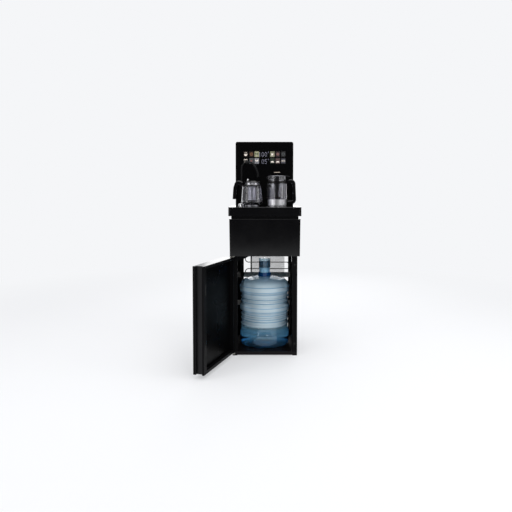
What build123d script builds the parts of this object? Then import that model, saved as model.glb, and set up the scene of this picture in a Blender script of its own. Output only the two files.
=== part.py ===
from build123d import *
import math
import os

# A bottom load water cooler in millimetres.  X is to the right, Z is up and the front faces -Y.
# The origin is the middle of the cabinet's base, on the floor.  The door is modelled shut and then
# turned about its hinge line to the angle at which it stands open.

# ---------------------------------------------------------------- the bottle
bottle_radius = 134.6            # widest, at the shoulder
bottle_mid_radius = 133.0
bottle_foot_radius = 129.5
bottle_waist_radius = 124.0
bottle_ribs = (142.0, 254.0)     # heights of the raised ribs in both waists
bottle_wall = 1.6
bottle_neck_radius = 29.0
bottle_shoulder_height = 312.0   # from the bottle's foot to the start of its dome
bottle_dome_height = 46.0
bottle_neck_height = 63.5        # neck over the snap ring
bottle_cap_height = 50.0
bottle_cap_wall = 2.0
bottle_collar_radius = 34.0
bottle_collar_height = 20.0
water_depth = 105.0              # from the bottle's foot
water_gap = 0.4                  # between the water and the bottle's wall
bottle_side_gap = 2.4            # between the bottle and each front post
bottle_front_gap = 25.4          # between the bottle and the plane of the posts' faces
bottle_back_gap = 5.4            # between the bottle and the plane of the cabinet's back

# --------------------------------------------------------------- the cabinet
post_width = 26.75               # width of a side panel's front post
sheet = 1.2                      # side panels, bulkhead and ceiling
bend_radius = 2.0
post_return = 12.0               # inward return of the post's inner edge
rear_flange = 30.75
tray_height = 20.0
tray_wall = 10.0
tray_floor = 4.0
tray_toe_gap = 3.0               # under the front of the tray, between its corner feet
tray_foot_width = 24.0
tray_corner_radius = 6.0
tray_rib_height = 1.5
tray_rib_width = 8.0
tray_rib_length = 250.0
tray_rib_pitch = 46.0
door_height = 481.0
door_head_gap = 9.0              # between the door and the fascia cover
ceiling_drop = 5.0               # the bay's ceiling lies below the fascia's lower edge
fascia_height = 184.0
fascia_wall = 3.0
fascia_top_overhang = 10.75      # beyond the cabinet's side, at the top
fascia_bottom_overhang = 8.25
fascia_edge_radius = 2.5
neck_height = 14.0
neck_overhang = 1.25
neck_setback = 10.0              # depth of the finger gap under the counter
neck_wall = 30.0
counter_thickness = 44.0
counter_overhang = 15.25
counter_nose = 4.0               # the counter stands out this far past the door's face
counter_corner_radius = 9.0
counter_edge_bevel = 1.5
counter_rim = 34.0               # solid rim round the hollow under the counter
counter_skin = 8.0

# ------------------------------------------------------------------ the door
door_overhang = 8.75
door_thickness = 54.0
door_gap = 2.0                   # between the shut door and the posts
door_swing = 109.6
door_panel_thickness = 4.0
door_edge_wall = 14.0
door_grip_wall = 28.0
door_liner_thickness = 2.5
door_liner_recess = 18.0
door_field_margin = 26.0         # border of the liner's raised field
door_field_height = 1.5
grip_width = 34.0
grip_depth = 14.0
grip_sheet = 1.5
hinge_inset = 6.5                # from the door's edge to the hinge line
hinge_to_door_back = 12.0
pin_radius = 4.0
pin_clearance = 0.05
pin_length_in_door = 14.0
bush_radius = 5.5
bush_length = 16.0
bracket_thickness = 3.0
bracket_tab_height = 24.0
bracket_tab_thickness = 2.0
washer_radius = 7.0
washer_gap = 0.1
pin_head = 1.8
magnet_size = (8.0, 4.0, 46.0)
magnet_clearance = 0.1
magnet_end_gap = 105.82          # from each end of the door to a magnet's middle
bumper_radius = 5.0

# --------------------------------------------------------- the upright display
display_width = 316.0
display_height = 349.0
display_thickness = 50.0
display_glass_thickness = 3.0
display_corner_radius = 10.0
display_board_size = (250.0, 3.0, 120.0)
display_board_drop = 15.0        # from the display's top to its circuit board

# ------------------------------------------------------- plates in the counter
pot_x = -66.0
pot_display_gap = 5.6            # between the pot's belly and the display
jug_x = 67.0
jug_display_gap = 12.0           # between the jug's sleeve and the display
heating_plate_radius = 54.0
heating_plate_thickness = 7.0
jug_plate_radius = 47.0
jug_plate_thickness = 3.0
plate_clearance = 0.3
standing_gap = 0.3               # under a vessel that stands on the deck

# ------------------------------------------------------------------- the pot
pot_height = 112.0
pot_facets = 28
pot_shoulder_radius = 53.5       # of the glass, under the collar
pot_belly_bulge = 6.5            # beyond the shoulder
pot_foot_inset = 11.5            # inside the shoulder
pot_chamfer_height = 13.0
pot_belly_height = 34.0
pot_wall = 3.5                   # at the shoulder and the foot
pot_belly_wall = 5.0             # from a facet's corner to the round inside
pot_base_height = 5.0
pot_base_inset = 3.5             # inside the glass's foot
pot_collar_inset = 0.5           # inside the shoulder
pot_collar_width = 13.5          # from its outside to its bore
pot_collar_height = 9.0
pot_ledge_depth = 4.0            # below the collar's top
pot_ledge_width = 5.0
pot_lid_overlap = 4.0            # of the lid's edge over the collar
pot_strainer_clearance = 1.0     # between the lid's skirt and the collar's bore
pot_strainer_height = 13.0
pot_lid_dome_height = 14.0
pot_lid_wall = 2.0
pot_lid_gap = 0.3
pot_fill_hole_radius = 12.0
pot_fill_hole_margin = 4.0       # from the hole to the lid's edge, towards the spout
strainer_slots = 12
infuser_radius = 22.5
infuser_height = 56.0
infuser_wall = 1.2
infuser_windows = 6              # openings in its flange, for pouring
infuser_drop = 20.0              # from the collar's ledge to the perforated cup
knob_radius = 5.0
knob_offset = 23.0
handle_bar = (20.0, 24.0)        # thickness and width
pot_handle_stand_off = 41.5      # from the shoulder to the bar's middle at its lower end
pot_handle_bottom = 36.0         # above the deck

# ------------------------------------------------------------------- the jug
jug_base_inset = 2.0             # of the steel base inside the sleeve
jug_height = 158.0
jug_base_height = 35.0
jug_air_gap = 5.0                # between the glass and the sleeve
jug_sleeve_wall = 2.5
jug_sleeve_height = 85.0
jug_glass_radius = 45.5
jug_glass_wall = 2.5
jug_glass_gap = 0.3              # between the glass and what stands round it
jug_lip_reach = 5.0
jug_lip_height = 24.0
jug_band_height = 12.0
jug_handle_stand_off = 38.5      # from the sleeve to the grip's middle
jug_handle_low = 18.0            # of the handle's lower run, above the deck
jug_handle_rise = 9.0            # of its top corner over the band
jug_lid_thickness = 12.0
jug_lid_flange = 2.5
jug_thumb_tab = (18.5, 15.0)     # reach beyond the glass, and radius of its end
jug_lid_gap = 0.4
loop_size = (34.0, 10.0, 21.0)
loop_bar = 4.5

# ----------------------------------------------------------------- the spout
riser_x = -124.0
riser_display_gap = 22.0         # from the riser's middle to the display
spout_tube_radius = 4.75
spout_height = 240.0             # above the deck
outlet_offset = (3.5, 3.0)       # from the middle of the lid's fill hole to the outlet's
spout_drop = 88.0                # from the arch's top to the outlet
spout_spread = 12.0              # the arch's leg leans out by this much
spout_socket_depth = 16.0
collar_radius = 19.5
collar_top_radius = 8.0
collar_edge_height = 3.0
collar_height = 15.0
collar_steps = 6                 # straight sides of its dome
nozzle_radius = 6.5
nozzle_length = 12.0

# ------------------------------------------- condenser and what lies on the back
brace_height = 28.0
brace_sheet = 1.5
brace_tab = 26.0
condenser_runs = 15              # an odd number, so that the last one ends on the right
condenser_lowest_run = 98.0
condenser_top_gap = 78.0         # from the highest run to the top of the compartment
braced_runs = ((3, -4.0), (7, 6.0))  # run held at each brace, and the brace's middle above it
clipped_top_run = 13             # in front of the rear panel
condenser_tube_radius = 2.5
condenser_left = -107.4
condenser_right = 143.5
discharge_overrun = 4.5          # of the highest run, beyond the others' ends
condenser_stand_off = 12.0
wire_radius = 0.9
wire_pitch = 9.6
wire_overrun = 6.0
wire_gap = 0.2
clip_size = (8.0, 9.0)
duct_width = 17.5
duct_depth = 22.0
gusset_reach = 91.0
gusset_drop = 43.0
louvre_rows = 7
louvre_pitch = 13.0
louvre_size = (60.0, 4.0)

# ---------------------------------------------- inside the machine compartment
compressor_centre = (66.0, 66.0)
compressor_radius = 54.0
compressor_height = 136.0
compressor_foot = (150.0, 92.0, 3.0)
grommet_radius = 9.0
grommet_height = 10.0
tank_centre = (-72.0, 58.0)
tank_radius = 50.0
tank_height = 116.0
insulation_thickness = 12.0
pump_centre = (62.0, -84.0)
pump_radius = 19.0
pump_length = 62.0
pump_head = (50.0, 24.0, 46.0)
board_size = (120.0, 1.6, 90.0)
board_x = -60.0
board_lift = 48.8                # from the compartment's floor to the board's lower edge
board_stand_off = 8.0

# --------------------------------------------------------------------- hoses
hose_radius = 4.5
probe_radius = 6.0
probe_length = 380.0
probe_top_drop = 64.0            # from the ceiling to the probe's head
probe_side_gap = 15.0            # from the side wall to the probe's middle
probe_brace_gap = 0.25           # between the probe's clips and the braces' tabs
probe_clip_depth = 18.0
drain_radius = 3.5
drain_x = -72.0
pipe_radius = 3.0

# -------------------------------------------- the inlet and switch on the back
inlet_size = (28.0, 18.0, 22.0)
inlet_socket = (22.0, 13.0, 15.0)
inlet_x = -117.5
inlet_flange = 2.0
switch_above_inlet = 34.0
switch_size = (22.0, 12.0, 30.0)
switch_hole = (14.0, 22.0)
switch_gap = 0.4
switch_tilt = 8.0
service_run = 12.5               # the mains socket lies halfway between two of the condenser's runs

# ------------------------------------------------- levels and planes that follow
cabinet_width = 2 * (bottle_radius + bottle_side_gap + post_width)
cabinet_depth = 2 * bottle_radius + bottle_front_gap + bottle_back_gap
half_width = cabinet_width / 2
front_y = -cabinet_depth / 2
back_y = cabinet_depth / 2
inner_x = half_width - sheet
fascia_bottom_z = tray_height + door_height + door_head_gap
fascia_top_z = fascia_bottom_z + fascia_height
deck_z = fascia_top_z + neck_height + counter_thickness
counter_bottom_z = deck_z - counter_thickness
ceiling_z = fascia_bottom_z - ceiling_drop
ceiling_top_z = ceiling_z + sheet
door_back_y = front_y - door_gap
door_front_y = door_back_y - door_thickness
door_half = half_width + door_overhang
hinge_x = -door_half + hinge_inset
hinge_y = door_back_y - hinge_to_door_back
fascia_front_y = door_front_y
bottle_foot_z = tray_height + tray_rib_height
bottle_centre_y = front_y + bottle_front_gap + bottle_radius
display_front_y = back_y - display_thickness
rear_panel_y = back_y + sheet
probe_y = back_y - sheet - brace_sheet / 2 - brace_tab - probe_brace_gap - probe_clip_depth / 2
condenser_y = back_y + condenser_stand_off
condenser_height = fascia_top_z - condenser_top_gap - condenser_lowest_run
condenser_pitch = condenser_height / (condenser_runs - 1)
service_row_z = condenser_lowest_run + service_run * condenser_pitch
vessel_z = deck_z + standing_gap
pot_belly_radius = pot_shoulder_radius + pot_belly_bulge
pot_foot_radius = pot_shoulder_radius - pot_foot_inset
pot_base_radius = pot_foot_radius - pot_base_inset
pot_collar_radius = pot_shoulder_radius - pot_collar_inset
pot_collar_bore = pot_collar_radius - pot_collar_width
pot_lid_radius = pot_collar_bore + pot_lid_overlap
pot_strainer_radius = pot_collar_bore - pot_strainer_clearance
jug_sleeve_radius = jug_glass_radius + jug_air_gap + jug_sleeve_wall
jug_base_radius = jug_sleeve_radius - jug_base_inset
pot_centre = (pot_x, display_front_y - pot_belly_radius - pot_display_gap)
jug_centre = (jug_x, display_front_y - jug_sleeve_radius - jug_display_gap)
fill_hole_x = pot_x + pot_lid_radius - pot_fill_hole_margin - pot_fill_hole_radius
fill_hole = (fill_hole_x, pot_centre[1] + 2)
outlet = (fill_hole[0] + outlet_offset[0], fill_hole[1] + outlet_offset[1])
riser_y = display_front_y - riser_display_gap
riser = (riser_x, riser_y)


# ------------------------------------------------------------------- helpers
def block(x, y, z):
    """A box between three pairs of limits."""
    size = [high - low for low, high in (x, y, z)]
    middle = [(high + low) / 2 for low, high in (x, y, z)]
    return Pos(*middle) * Box(*size)


def around(middle, size):
    """The limits of a span of one size about its middle."""
    return (middle - size / 2, middle + size / 2)


def disc(radius, z, centre=(0, 0)):
    """An upright cylinder between two levels."""
    low, high = z
    return Pos(centre[0], centre[1], (low + high) / 2) * Cylinder(radius, high - low)


def ring(outer, bore, z, centre=(0, 0)):
    """An upright cylinder with a bore."""
    low, high = z
    return disc(outer, z, centre) - disc(bore, (low - 1, high + 1), centre)


def rod_along_y(radius, x, y, z):
    """A cylinder along Y between two limits of y."""
    low, high = y
    return Pos(x, (low + high) / 2, z) * Rot(90, 0, 0) * Cylinder(radius, high - low)


def rod_along_x(radius, x, y, z):
    """A cylinder along X between two limits of x."""
    low, high = x
    return Pos((low + high) / 2, y, z) * Rot(0, 90, 0) * Cylinder(radius, high - low)


def turned(outline, centre=(0, 0)):
    """A solid turned about an upright axis from (radius, height) points."""
    face = make_face(Polyline(*outline, close=True))
    return Pos(centre[0], centre[1], 0) * revolve(Plane.XZ * face, Axis.Z)


def pipe(points, bends, section):
    """A section carried along straight runs joined by tangent arcs."""
    path = FilletPolyline(*points, radius=bends)
    return sweep(Plane(origin=path @ 0, z_dir=path % 0) * section, path=path)


def small_bore(radius):
    """Six-sided section of a slender pipe or hose."""
    return RegularPolygon(radius, 6)


def grip_section():
    """Section of both handles: a bar with its four corners taken off."""
    bar, width = handle_bar
    return chamfer(Rectangle(width, bar).vertices(), 4)


def group(*pieces):
    """Several separate solids as one node."""
    return Compound([solid for piece in pieces for solid in piece.solids()])


def hung_open(piece):
    """Turns a piece of the shut door about the hinge line to where the door stands open."""
    hinge = Pos(hinge_x, hinge_y, 0)
    return hinge * Rot(0, 0, -door_swing) * hinge.inverse() * piece


# ------------------------------------------------------------------- cabinet
def base_tray():
    """Moulded base: its skirt stands on the floor at the sides, the back and the front corners."""
    tray = block((-half_width, half_width), (front_y, back_y), (0, tray_height))
    tray = fillet(tray.edges().filter_by(Axis.Z), tray_corner_radius)
    hollow_x = (-half_width + tray_wall, half_width - tray_wall)
    hollow_y = (front_y + tray_wall, back_y - tray_wall)
    tray -= block(hollow_x, hollow_y, (-1, tray_height - tray_floor))
    toe_x = (-half_width + tray_foot_width, half_width - tray_foot_width)
    tray -= block(toe_x, (front_y - 1, front_y + tray_wall + 1), (-1, tray_toe_gap))
    for step in (-2, -1, 0, 1, 2):
        rib_x = around(step * tray_rib_pitch, tray_rib_width)
        tray += block(rib_x, around(0, tray_rib_length), (tray_height, bottle_foot_z))
    return tray


def folded(points, z):
    """A strip of bent sheet that stands upright, from its centre line seen from above."""
    low, high = z
    line = FilletPolyline(*points, radius=bend_radius)
    return Pos(0, 0, low) * extrude(trace(line, line_width=sheet), high - low)


def side_panel(side):
    """Folded steel side: front post with its return, web and rear flange."""
    skin = half_width - sheet / 2
    front = front_y + sheet / 2
    back = back_y - sheet / 2
    post = half_width - post_width + sheet / 2
    points = [
        (side * post, front + post_return),
        (side * post, front),
        (side * skin, front),
        (side * skin, back),
        (side * (half_width - rear_flange), back),
    ]
    return folded(points, (tray_height, fascia_top_z))


def brace(run, offset):
    """Strap across the back with a tab bent forward along each side, behind a condenser run."""
    middle_z = run_levels()[run] + offset
    reach = inner_x - brace_sheet / 2
    back = back_y - sheet - brace_sheet / 2
    points = [
        (-reach, back - brace_tab),
        (-reach, back),
        (reach, back),
        (reach, back - brace_tab),
    ]
    line = FilletPolyline(*points, radius=bend_radius)
    strap = extrude(trace(line, line_width=brace_sheet), brace_height)
    return Pos(0, 0, middle_z - brace_height / 2) * strap


def cable_duct():
    """Channel that covers the wiring in the left rear corner, open to the corner."""
    left = -half_width + rear_flange
    x = (left, left + duct_width)
    back = back_y - sheet - brace_sheet
    y = (back - duct_depth, back)
    duct = block(x, y, (tray_height, ceiling_z))
    return duct - block((left - 1, x[1] - sheet), (y[0] + sheet, back + 1), (0, ceiling_z + 1))


def hinge_gusset():
    """Triangular stiffener behind the hinge side's post, under the ceiling."""
    corners = [
        (-inner_x, ceiling_z),
        (-inner_x + gusset_reach, ceiling_z),
        (-inner_x, ceiling_z - gusset_drop),
    ]
    plate = extrude(Plane.XZ * make_face(Polyline(*corners, close=True)), -sheet)
    return Pos(0, front_y + post_return + sheet, 0) * plate


def bay_ceiling():
    """Partition over the bottle bay, with holes for the suction and drain hoses."""
    plate = block((-inner_x, inner_x), (front_y + sheet, back_y - sheet), (ceiling_z, ceiling_top_z))
    plate = fillet(plate.edges().filter_by(Axis.Z), bend_radius)
    post_x = half_width - post_width
    for side in (-1, 1):
        notch_x = sorted((side * post_x - side * 0.2, side * half_width))
        plate -= block(notch_x, (front_y, front_y + post_return + sheet), (ceiling_z - 1, ceiling_top_z + 1))
    z = (ceiling_z - 1, ceiling_top_z + 1)
    plate -= disc(hose_radius + 0.3, z, (inner_x - probe_side_gap, probe_y))
    return plate - disc(drain_radius + 0.3, z, (drain_x, back_y - 8))


def front_bulkhead():
    """Sheet that closes the machine compartment behind the fascia cover."""
    post_x = half_width - post_width - 0.3
    return block((-post_x, post_x), (front_y, front_y + sheet), (ceiling_top_z, fascia_top_z))


def rear_panel():
    """Cover over the compartment's back with two columns of louvres."""
    x = (-half_width + 4, half_width - 4)
    panel = block(x, (back_y, rear_panel_y), (ceiling_z, fascia_top_z))
    top_row = fascia_top_z - 24
    for row in range(louvre_rows):
        z = around(top_row - row * louvre_pitch, louvre_size[1])
        for column_x in (-62, 78):
            panel -= block(around(column_x, louvre_size[0]), (back_y - 1, rear_panel_y + 1), z)
    panel -= rod_along_y(pipe_radius + 0.3, discharge_x, (back_y - 1, rear_panel_y + 1), discharge_z)
    x, _, switch_z = switch_place()
    y = (back_y - 1, rear_panel_y + 1)
    panel -= block(around(x, inlet_size[0] - 4), y, around(switch_z, switch_size[2] - 4))
    return panel - block(around(x, inlet_size[0] - 4), y, around(service_row_z, inlet_size[1]))


def fascia_face(inset):
    """The fascia's tapered outline, seen from the front, moved in by the inset."""
    top = half_width + fascia_top_overhang - inset
    bottom = half_width + fascia_bottom_overhang - inset
    low = fascia_bottom_z + inset
    high = fascia_top_z - inset
    corners = [(-bottom, low), (bottom, low), (top, high), (-top, high)]
    return Plane.XZ * make_face(Polyline(*corners, close=True))


def fascia_cover():
    """Hollow moulded cover, open at the back."""
    depth = front_y - fascia_front_y
    cover = Pos(0, front_y, 0) * extrude(fascia_face(0), depth)
    front_edges = cover.faces().sort_by(Axis.Y)[0].edges()
    cover = fillet(front_edges, fascia_edge_radius)
    hollow = Pos(0, front_y, 0) * extrude(fascia_face(fascia_wall), depth - fascia_wall)
    cover -= hollow
    tab_x = (hinge_x - 10, -half_width + post_width)
    slot = block(tab_x, (front_y - 4, front_y), (fascia_bottom_z - 1, fascia_bottom_z + fascia_wall + 1))
    return cover - slot


def neck_frame():
    """Recessed ring between the fascia cover and the counter."""
    outer = half_width + neck_overhang
    front = fascia_front_y + neck_setback
    frame = block((-outer, outer), (front, back_y - sheet), (fascia_top_z, counter_bottom_z))
    inner = outer - neck_wall
    opening_y = (front + neck_wall, back_y - neck_wall)
    return frame - block((-inner, inner), opening_y, (fascia_top_z - 1, counter_bottom_z + 1))


def counter_top():
    """Deck slab: hollow below, with seats for both plates and a hole for the riser."""
    reach = half_width + counter_overhang
    front = fascia_front_y - counter_nose
    slab = block((-reach, reach), (front, back_y), (counter_bottom_z, deck_z))
    slab = fillet(slab.edges().filter_by(Axis.Z), counter_corner_radius)
    slab = chamfer(slab.faces().sort_by(Axis.Z)[-1].edges(), counter_edge_bevel)
    hollow_x = (-reach + counter_rim, reach - counter_rim)
    hollow_y = (front + counter_rim, back_y - counter_rim)
    slab -= block(hollow_x, hollow_y, (counter_bottom_z - 1, deck_z - counter_skin))
    for centre, radius, depth in deck_seats():
        slab -= disc(radius + plate_clearance, (deck_z - depth, deck_z + 1), centre)
    slab -= disc(spout_tube_radius + pin_clearance, (counter_bottom_z - 1, deck_z + 1), riser)
    return slab


def deck_seats():
    """The two plates let into the deck: centre, radius and thickness."""
    return [
        (pot_centre, heating_plate_radius, heating_plate_thickness),
        (jug_centre, jug_plate_radius, jug_plate_thickness),
    ]


def deck_plate(centre, radius, thickness, groove_radii):
    """Round plate, flush with the deck, with turned grooves."""
    plate = disc(radius, (deck_z - thickness, deck_z), centre)
    for groove in groove_radii:
        plate -= ring(groove + 1.0, groove, (deck_z - 0.8, deck_z + 1), centre)
    return plate


# ---------------------------------------------------------------------- door
def door_front_panel():
    """Glossy outer panel with rounded upright edges."""
    y = (door_front_y, door_front_y + door_panel_thickness)
    panel = block((-door_half, door_half), y, (tray_height, tray_height + door_height))
    edges = panel.faces().sort_by(Axis.Y)[0].edges()
    return fillet(edges, door_panel_thickness * 0.6)


def door_cavity():
    """The limits in x and z of the frame's opening."""
    x = (-door_half + door_edge_wall, door_half - door_grip_wall)
    z = (tray_height + door_edge_wall, tray_height + door_height - door_edge_wall)
    return x, z


def grip_span():
    """The limits in y of the grip's groove."""
    return around((door_front_y + door_panel_thickness + door_back_y) / 2, grip_width)


def door_frame():
    """Perimeter frame with the finger groove down its free edge and a bush hole at each end."""
    y = (door_front_y + door_panel_thickness, door_back_y)
    z = (tray_height, tray_height + door_height)
    frame = block((-door_half, door_half), y, z)
    cavity_x, cavity_z = door_cavity()
    frame -= block(cavity_x, (y[0] - 1, y[1] + 1), cavity_z)
    frame -= block((door_half - grip_depth, door_half + 1), grip_span(), (z[0] - 1, z[1] + 1))
    for low in (z[0], z[1] - bush_length):
        frame -= disc(bush_radius, (low, low + bush_length), (hinge_x, hinge_y))
    for x, magnet_y, magnet_z in magnet_places(magnet_clearance):
        frame -= block(x, (magnet_y[0], magnet_y[1] + 1), magnet_z)
    return frame


def magnet_places(clearance):
    """The limits of both magnets, grown by the clearance."""
    width, depth, height = magnet_size
    middle_x = door_half - grip_depth - 6
    for middle_z in (tray_height + magnet_end_gap, tray_height + door_height - magnet_end_gap):
        yield (
            around(middle_x, width + 2 * clearance),
            (door_back_y - depth - clearance, door_back_y),
            around(middle_z, height + 2 * clearance),
        )


def door_magnets():
    """Latch magnets, flush in the frame's back face."""
    return group(*[block(*place) for place in magnet_places(0)])


def door_inner_liner():
    """Recessed inner panel with a raised field."""
    cavity_x, cavity_z = door_cavity()
    low = door_back_y - door_liner_recess - door_liner_thickness
    liner = block(cavity_x, (low, low + door_liner_thickness), cavity_z)
    field_x = (cavity_x[0] + door_field_margin, cavity_x[1] - door_field_margin)
    field_z = (cavity_z[0] + door_field_margin, cavity_z[1] - door_field_margin)
    top = low + door_liner_thickness
    field = block(field_x, (top, top + door_field_height), field_z)
    return liner + fillet(field.edges().filter_by(Axis.Y), 12)


def door_edge_grip():
    """Channel that lines the groove down the free edge."""
    low, high = grip_span()
    z = (tray_height, tray_height + door_height)
    channel = block((door_half - grip_depth, door_half - 0.5), (low, high), z)
    inner = (low + grip_sheet, high - grip_sheet)
    channel -= block((door_half - grip_depth + grip_sheet, door_half + 1), inner, (z[0] - 1, z[1] + 1))
    return channel


def door_bushes():
    """Nylon bushes for the hinge pins, at both ends of the hinge line."""
    bore = pin_radius + pin_clearance
    centre = (hinge_x, hinge_y)
    low = tray_height
    high = tray_height + door_height - bush_length
    return group(*[ring(bush_radius, bore, (z, z + bush_length), centre) for z in (low, high)])


def bracket_levels():
    """The level of each hinge bracket's plate, and the way its pin points."""
    bottom_top = tray_height - 2.5
    top_bottom = tray_height + door_height + 2.0
    return [
        ((bottom_top - bracket_thickness, bottom_top), 1),
        ((top_bottom, top_bottom + bracket_thickness), -1),
    ]


def hinge_brackets():
    """Two steel plates that reach out from the cabinet's front over and under the door."""
    pieces = []
    for (low, high), pin_way in bracket_levels():
        x = (hinge_x - 9, hinge_x + 16)
        plate = block(x, (hinge_y - 9, front_y), (low, high))
        plate = fillet(plate.edges().filter_by(Axis.Z).sort_by(Axis.Y)[:2], 7)
        tab_z = (low - bracket_tab_height / 3, low) if pin_way > 0 else (high, high + bracket_tab_height)
        tab_x = (-half_width + 1, hinge_x + 16)
        plate += block(tab_x, (front_y - bracket_tab_thickness, front_y), tab_z)
        plate -= disc(pin_radius + pin_clearance, (low - 1, high + 1), (hinge_x, hinge_y))
        pieces.append(plate)
    return group(*pieces)


def hinge_pins():
    """Headed pins through the brackets into the door's bushes."""
    pieces = []
    centre = (hinge_x, hinge_y)
    for (low, high), pin_way in bracket_levels():
        door_end = tray_height if pin_way > 0 else tray_height + door_height
        tip = door_end + pin_way * pin_length_in_door
        outer = low if pin_way > 0 else high
        shank = disc(pin_radius, sorted((outer, tip)), centre)
        head = disc(pin_radius + 2, sorted((outer, outer - pin_way * pin_head)), centre)
        pieces.append(shank + head)
    return group(*pieces)


def hinge_washers():
    """A washer between each bracket and the door."""
    pieces = []
    centre = (hinge_x, hinge_y)
    for (low, high), pin_way in bracket_levels():
        if pin_way > 0:
            z = (high, tray_height - washer_gap)
        else:
            z = (tray_height + door_height + washer_gap, low)
        pieces.append(ring(washer_radius, pin_radius + pin_clearance, z, centre))
    return group(*pieces)


def door_bumpers():
    """Rubber buttons on the right post that the shut door meets."""
    x = half_width - post_width / 2
    y = (front_y - door_gap + 0.2, front_y)
    heights = (tray_height + 40, tray_height + door_height - 40)
    return group(*[rod_along_y(bumper_radius, x, y, z) for z in heights])


# -------------------------------------------------------------------- bottle
def bottle_form(inset, ribs=()):
    """The bottle's turned body and dome, moved in by the inset, with a raised rib at each height."""
    foot = bottle_foot_z + inset
    base = bottle_foot_z

    def at(radius, height):
        return (radius - inset, base + height)

    dome_top_z = base + bottle_shoulder_height + bottle_dome_height - inset
    wall = [
        (0, foot + 8),
        (bottle_foot_radius - 42, foot + 8),
        (bottle_foot_radius - 32, foot),
        (bottle_foot_radius - 12 - inset, foot),
        at(bottle_foot_radius, 14),
        at(bottle_foot_radius, 74),
        at(bottle_waist_radius, 86),
        at(bottle_waist_radius, 176),
        at(bottle_mid_radius, 188),
        at(bottle_mid_radius, 206),
        at(bottle_waist_radius, 218),
        at(bottle_waist_radius, 274),
        at(bottle_radius, 290),
        at(bottle_radius, bottle_shoulder_height),
    ]
    for height in ribs:
        rib = [at(bottle_waist_radius, height - 7), at(bottle_waist_radius + 3.5, height)]
        rib.append(at(bottle_waist_radius, height + 7))
        wall = wall[:4] + sorted(wall[4:] + rib, key=lambda point: point[1])
    dome = [
        at(bottle_radius - 9, bottle_shoulder_height + 0.45 * bottle_dome_height),
        at(bottle_radius - 29, bottle_shoulder_height + 0.82 * bottle_dome_height),
        (bottle_neck_radius - inset, dome_top_z),
        (0, dome_top_z),
    ]
    return turned(wall + dome, (0, bottle_centre_y))


def neck_levels():
    """Levels of the neck's foot and its open end."""
    foot = bottle_foot_z + bottle_shoulder_height + bottle_dome_height
    return foot, foot + bottle_collar_height + bottle_neck_height


def bottle_shell():
    """Blown bottle with three bulges, two ribbed waists, a dome and an open neck."""
    foot, top = neck_levels()
    centre = (0, bottle_centre_y)
    shell = bottle_form(0, bottle_ribs) + disc(bottle_neck_radius, (foot - 1, top), centre)
    bore = disc(bottle_neck_radius - bottle_wall, (foot - 4 * bottle_wall, top + 1), centre)
    return shell - bottle_form(bottle_wall) - bore


def bottle_collar():
    """Snap ring round the foot of the neck."""
    foot, _ = neck_levels()
    lift = 0.3
    z = (foot + lift, foot + lift + bottle_collar_height)
    return ring(bottle_collar_radius, bottle_neck_radius, z, (0, bottle_centre_y))


def bottle_cap():
    """Skirted cap over the upper neck."""
    _, top = neck_levels()
    outer = bottle_neck_radius + bottle_cap_wall
    cap_top = top + bottle_cap_wall + 10
    skirt = cap_top - bottle_cap_height
    outline = [
        (bottle_neck_radius, skirt),
        (outer, skirt),
        (outer, cap_top - 2),
        (outer - 2, cap_top),
        (0, cap_top),
        (0, top),
        (bottle_neck_radius, top),
    ]
    return turned(outline, (0, bottle_centre_y))


def bottle_water():
    """The water left in the bottle's foot."""
    level = bottle_foot_z + water_depth
    below = block(around(0, 3 * bottle_radius), around(0, 3 * bottle_radius), (0, level))
    return bottle_form(bottle_wall + water_gap) & below


# ----------------------------------------------------------------------- pot
def pot_levels():
    """Levels of the pot's glass foot, its collar and the collar's top."""
    glass_foot = vessel_z + pot_base_height
    collar_foot = vessel_z + pot_height - pot_collar_height
    return glass_foot, collar_foot, vessel_z + pot_height


def pot_ledge():
    """Level of the ledge inside the collar."""
    return pot_levels()[2] - pot_ledge_depth


def faceted(radii_and_levels, count):
    """A ruled solid between regular polygons of one number of sides."""
    sections = [
        Pos(pot_centre[0], pot_centre[1], level) * RegularPolygon(radius, count)
        for radius, level in radii_and_levels
    ]
    return loft(sections, ruled=True)


def pot_glass():
    """Facetted glass body with a smooth round inside."""
    foot, collar, _ = pot_levels()
    outside = [
        (pot_foot_radius, foot),
        (pot_belly_radius, foot + pot_chamfer_height),
        (pot_belly_radius - 1, foot + pot_belly_height),
        (pot_shoulder_radius, collar),
    ]
    body = faceted(outside, pot_facets)
    bore = pot_shoulder_radius - pot_wall
    inside = [
        (0, foot + pot_wall),
        (pot_foot_radius - pot_wall, foot + pot_wall),
        (pot_belly_radius - pot_belly_wall, foot + pot_chamfer_height + pot_wall / 2),
        (pot_belly_radius - pot_belly_wall - 1, foot + pot_belly_height),
        (bore, collar - pot_wall),
        (bore, collar + 1),
        (0, collar + 1),
    ]
    return body - turned(inside, pot_centre)


def pot_base():
    """Heating foot under the glass."""
    foot, _, _ = pot_levels()
    return disc(pot_base_radius, (vessel_z, foot), pot_centre)


def pot_collar():
    """Black collar round the mouth, with a ledge inside that carries the infuser."""
    _, low, high = pot_levels()
    ledge = pot_ledge()
    outline = [
        (pot_collar_bore - pot_ledge_width, low),
        (pot_collar_radius, low),
        (pot_collar_radius, high - 2),
        (pot_collar_radius - 2, high),
        (pot_collar_bore, high),
        (pot_collar_bore, ledge),
        (pot_collar_bore - pot_ledge_width, ledge),
    ]
    return turned(outline, pot_centre)


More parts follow.
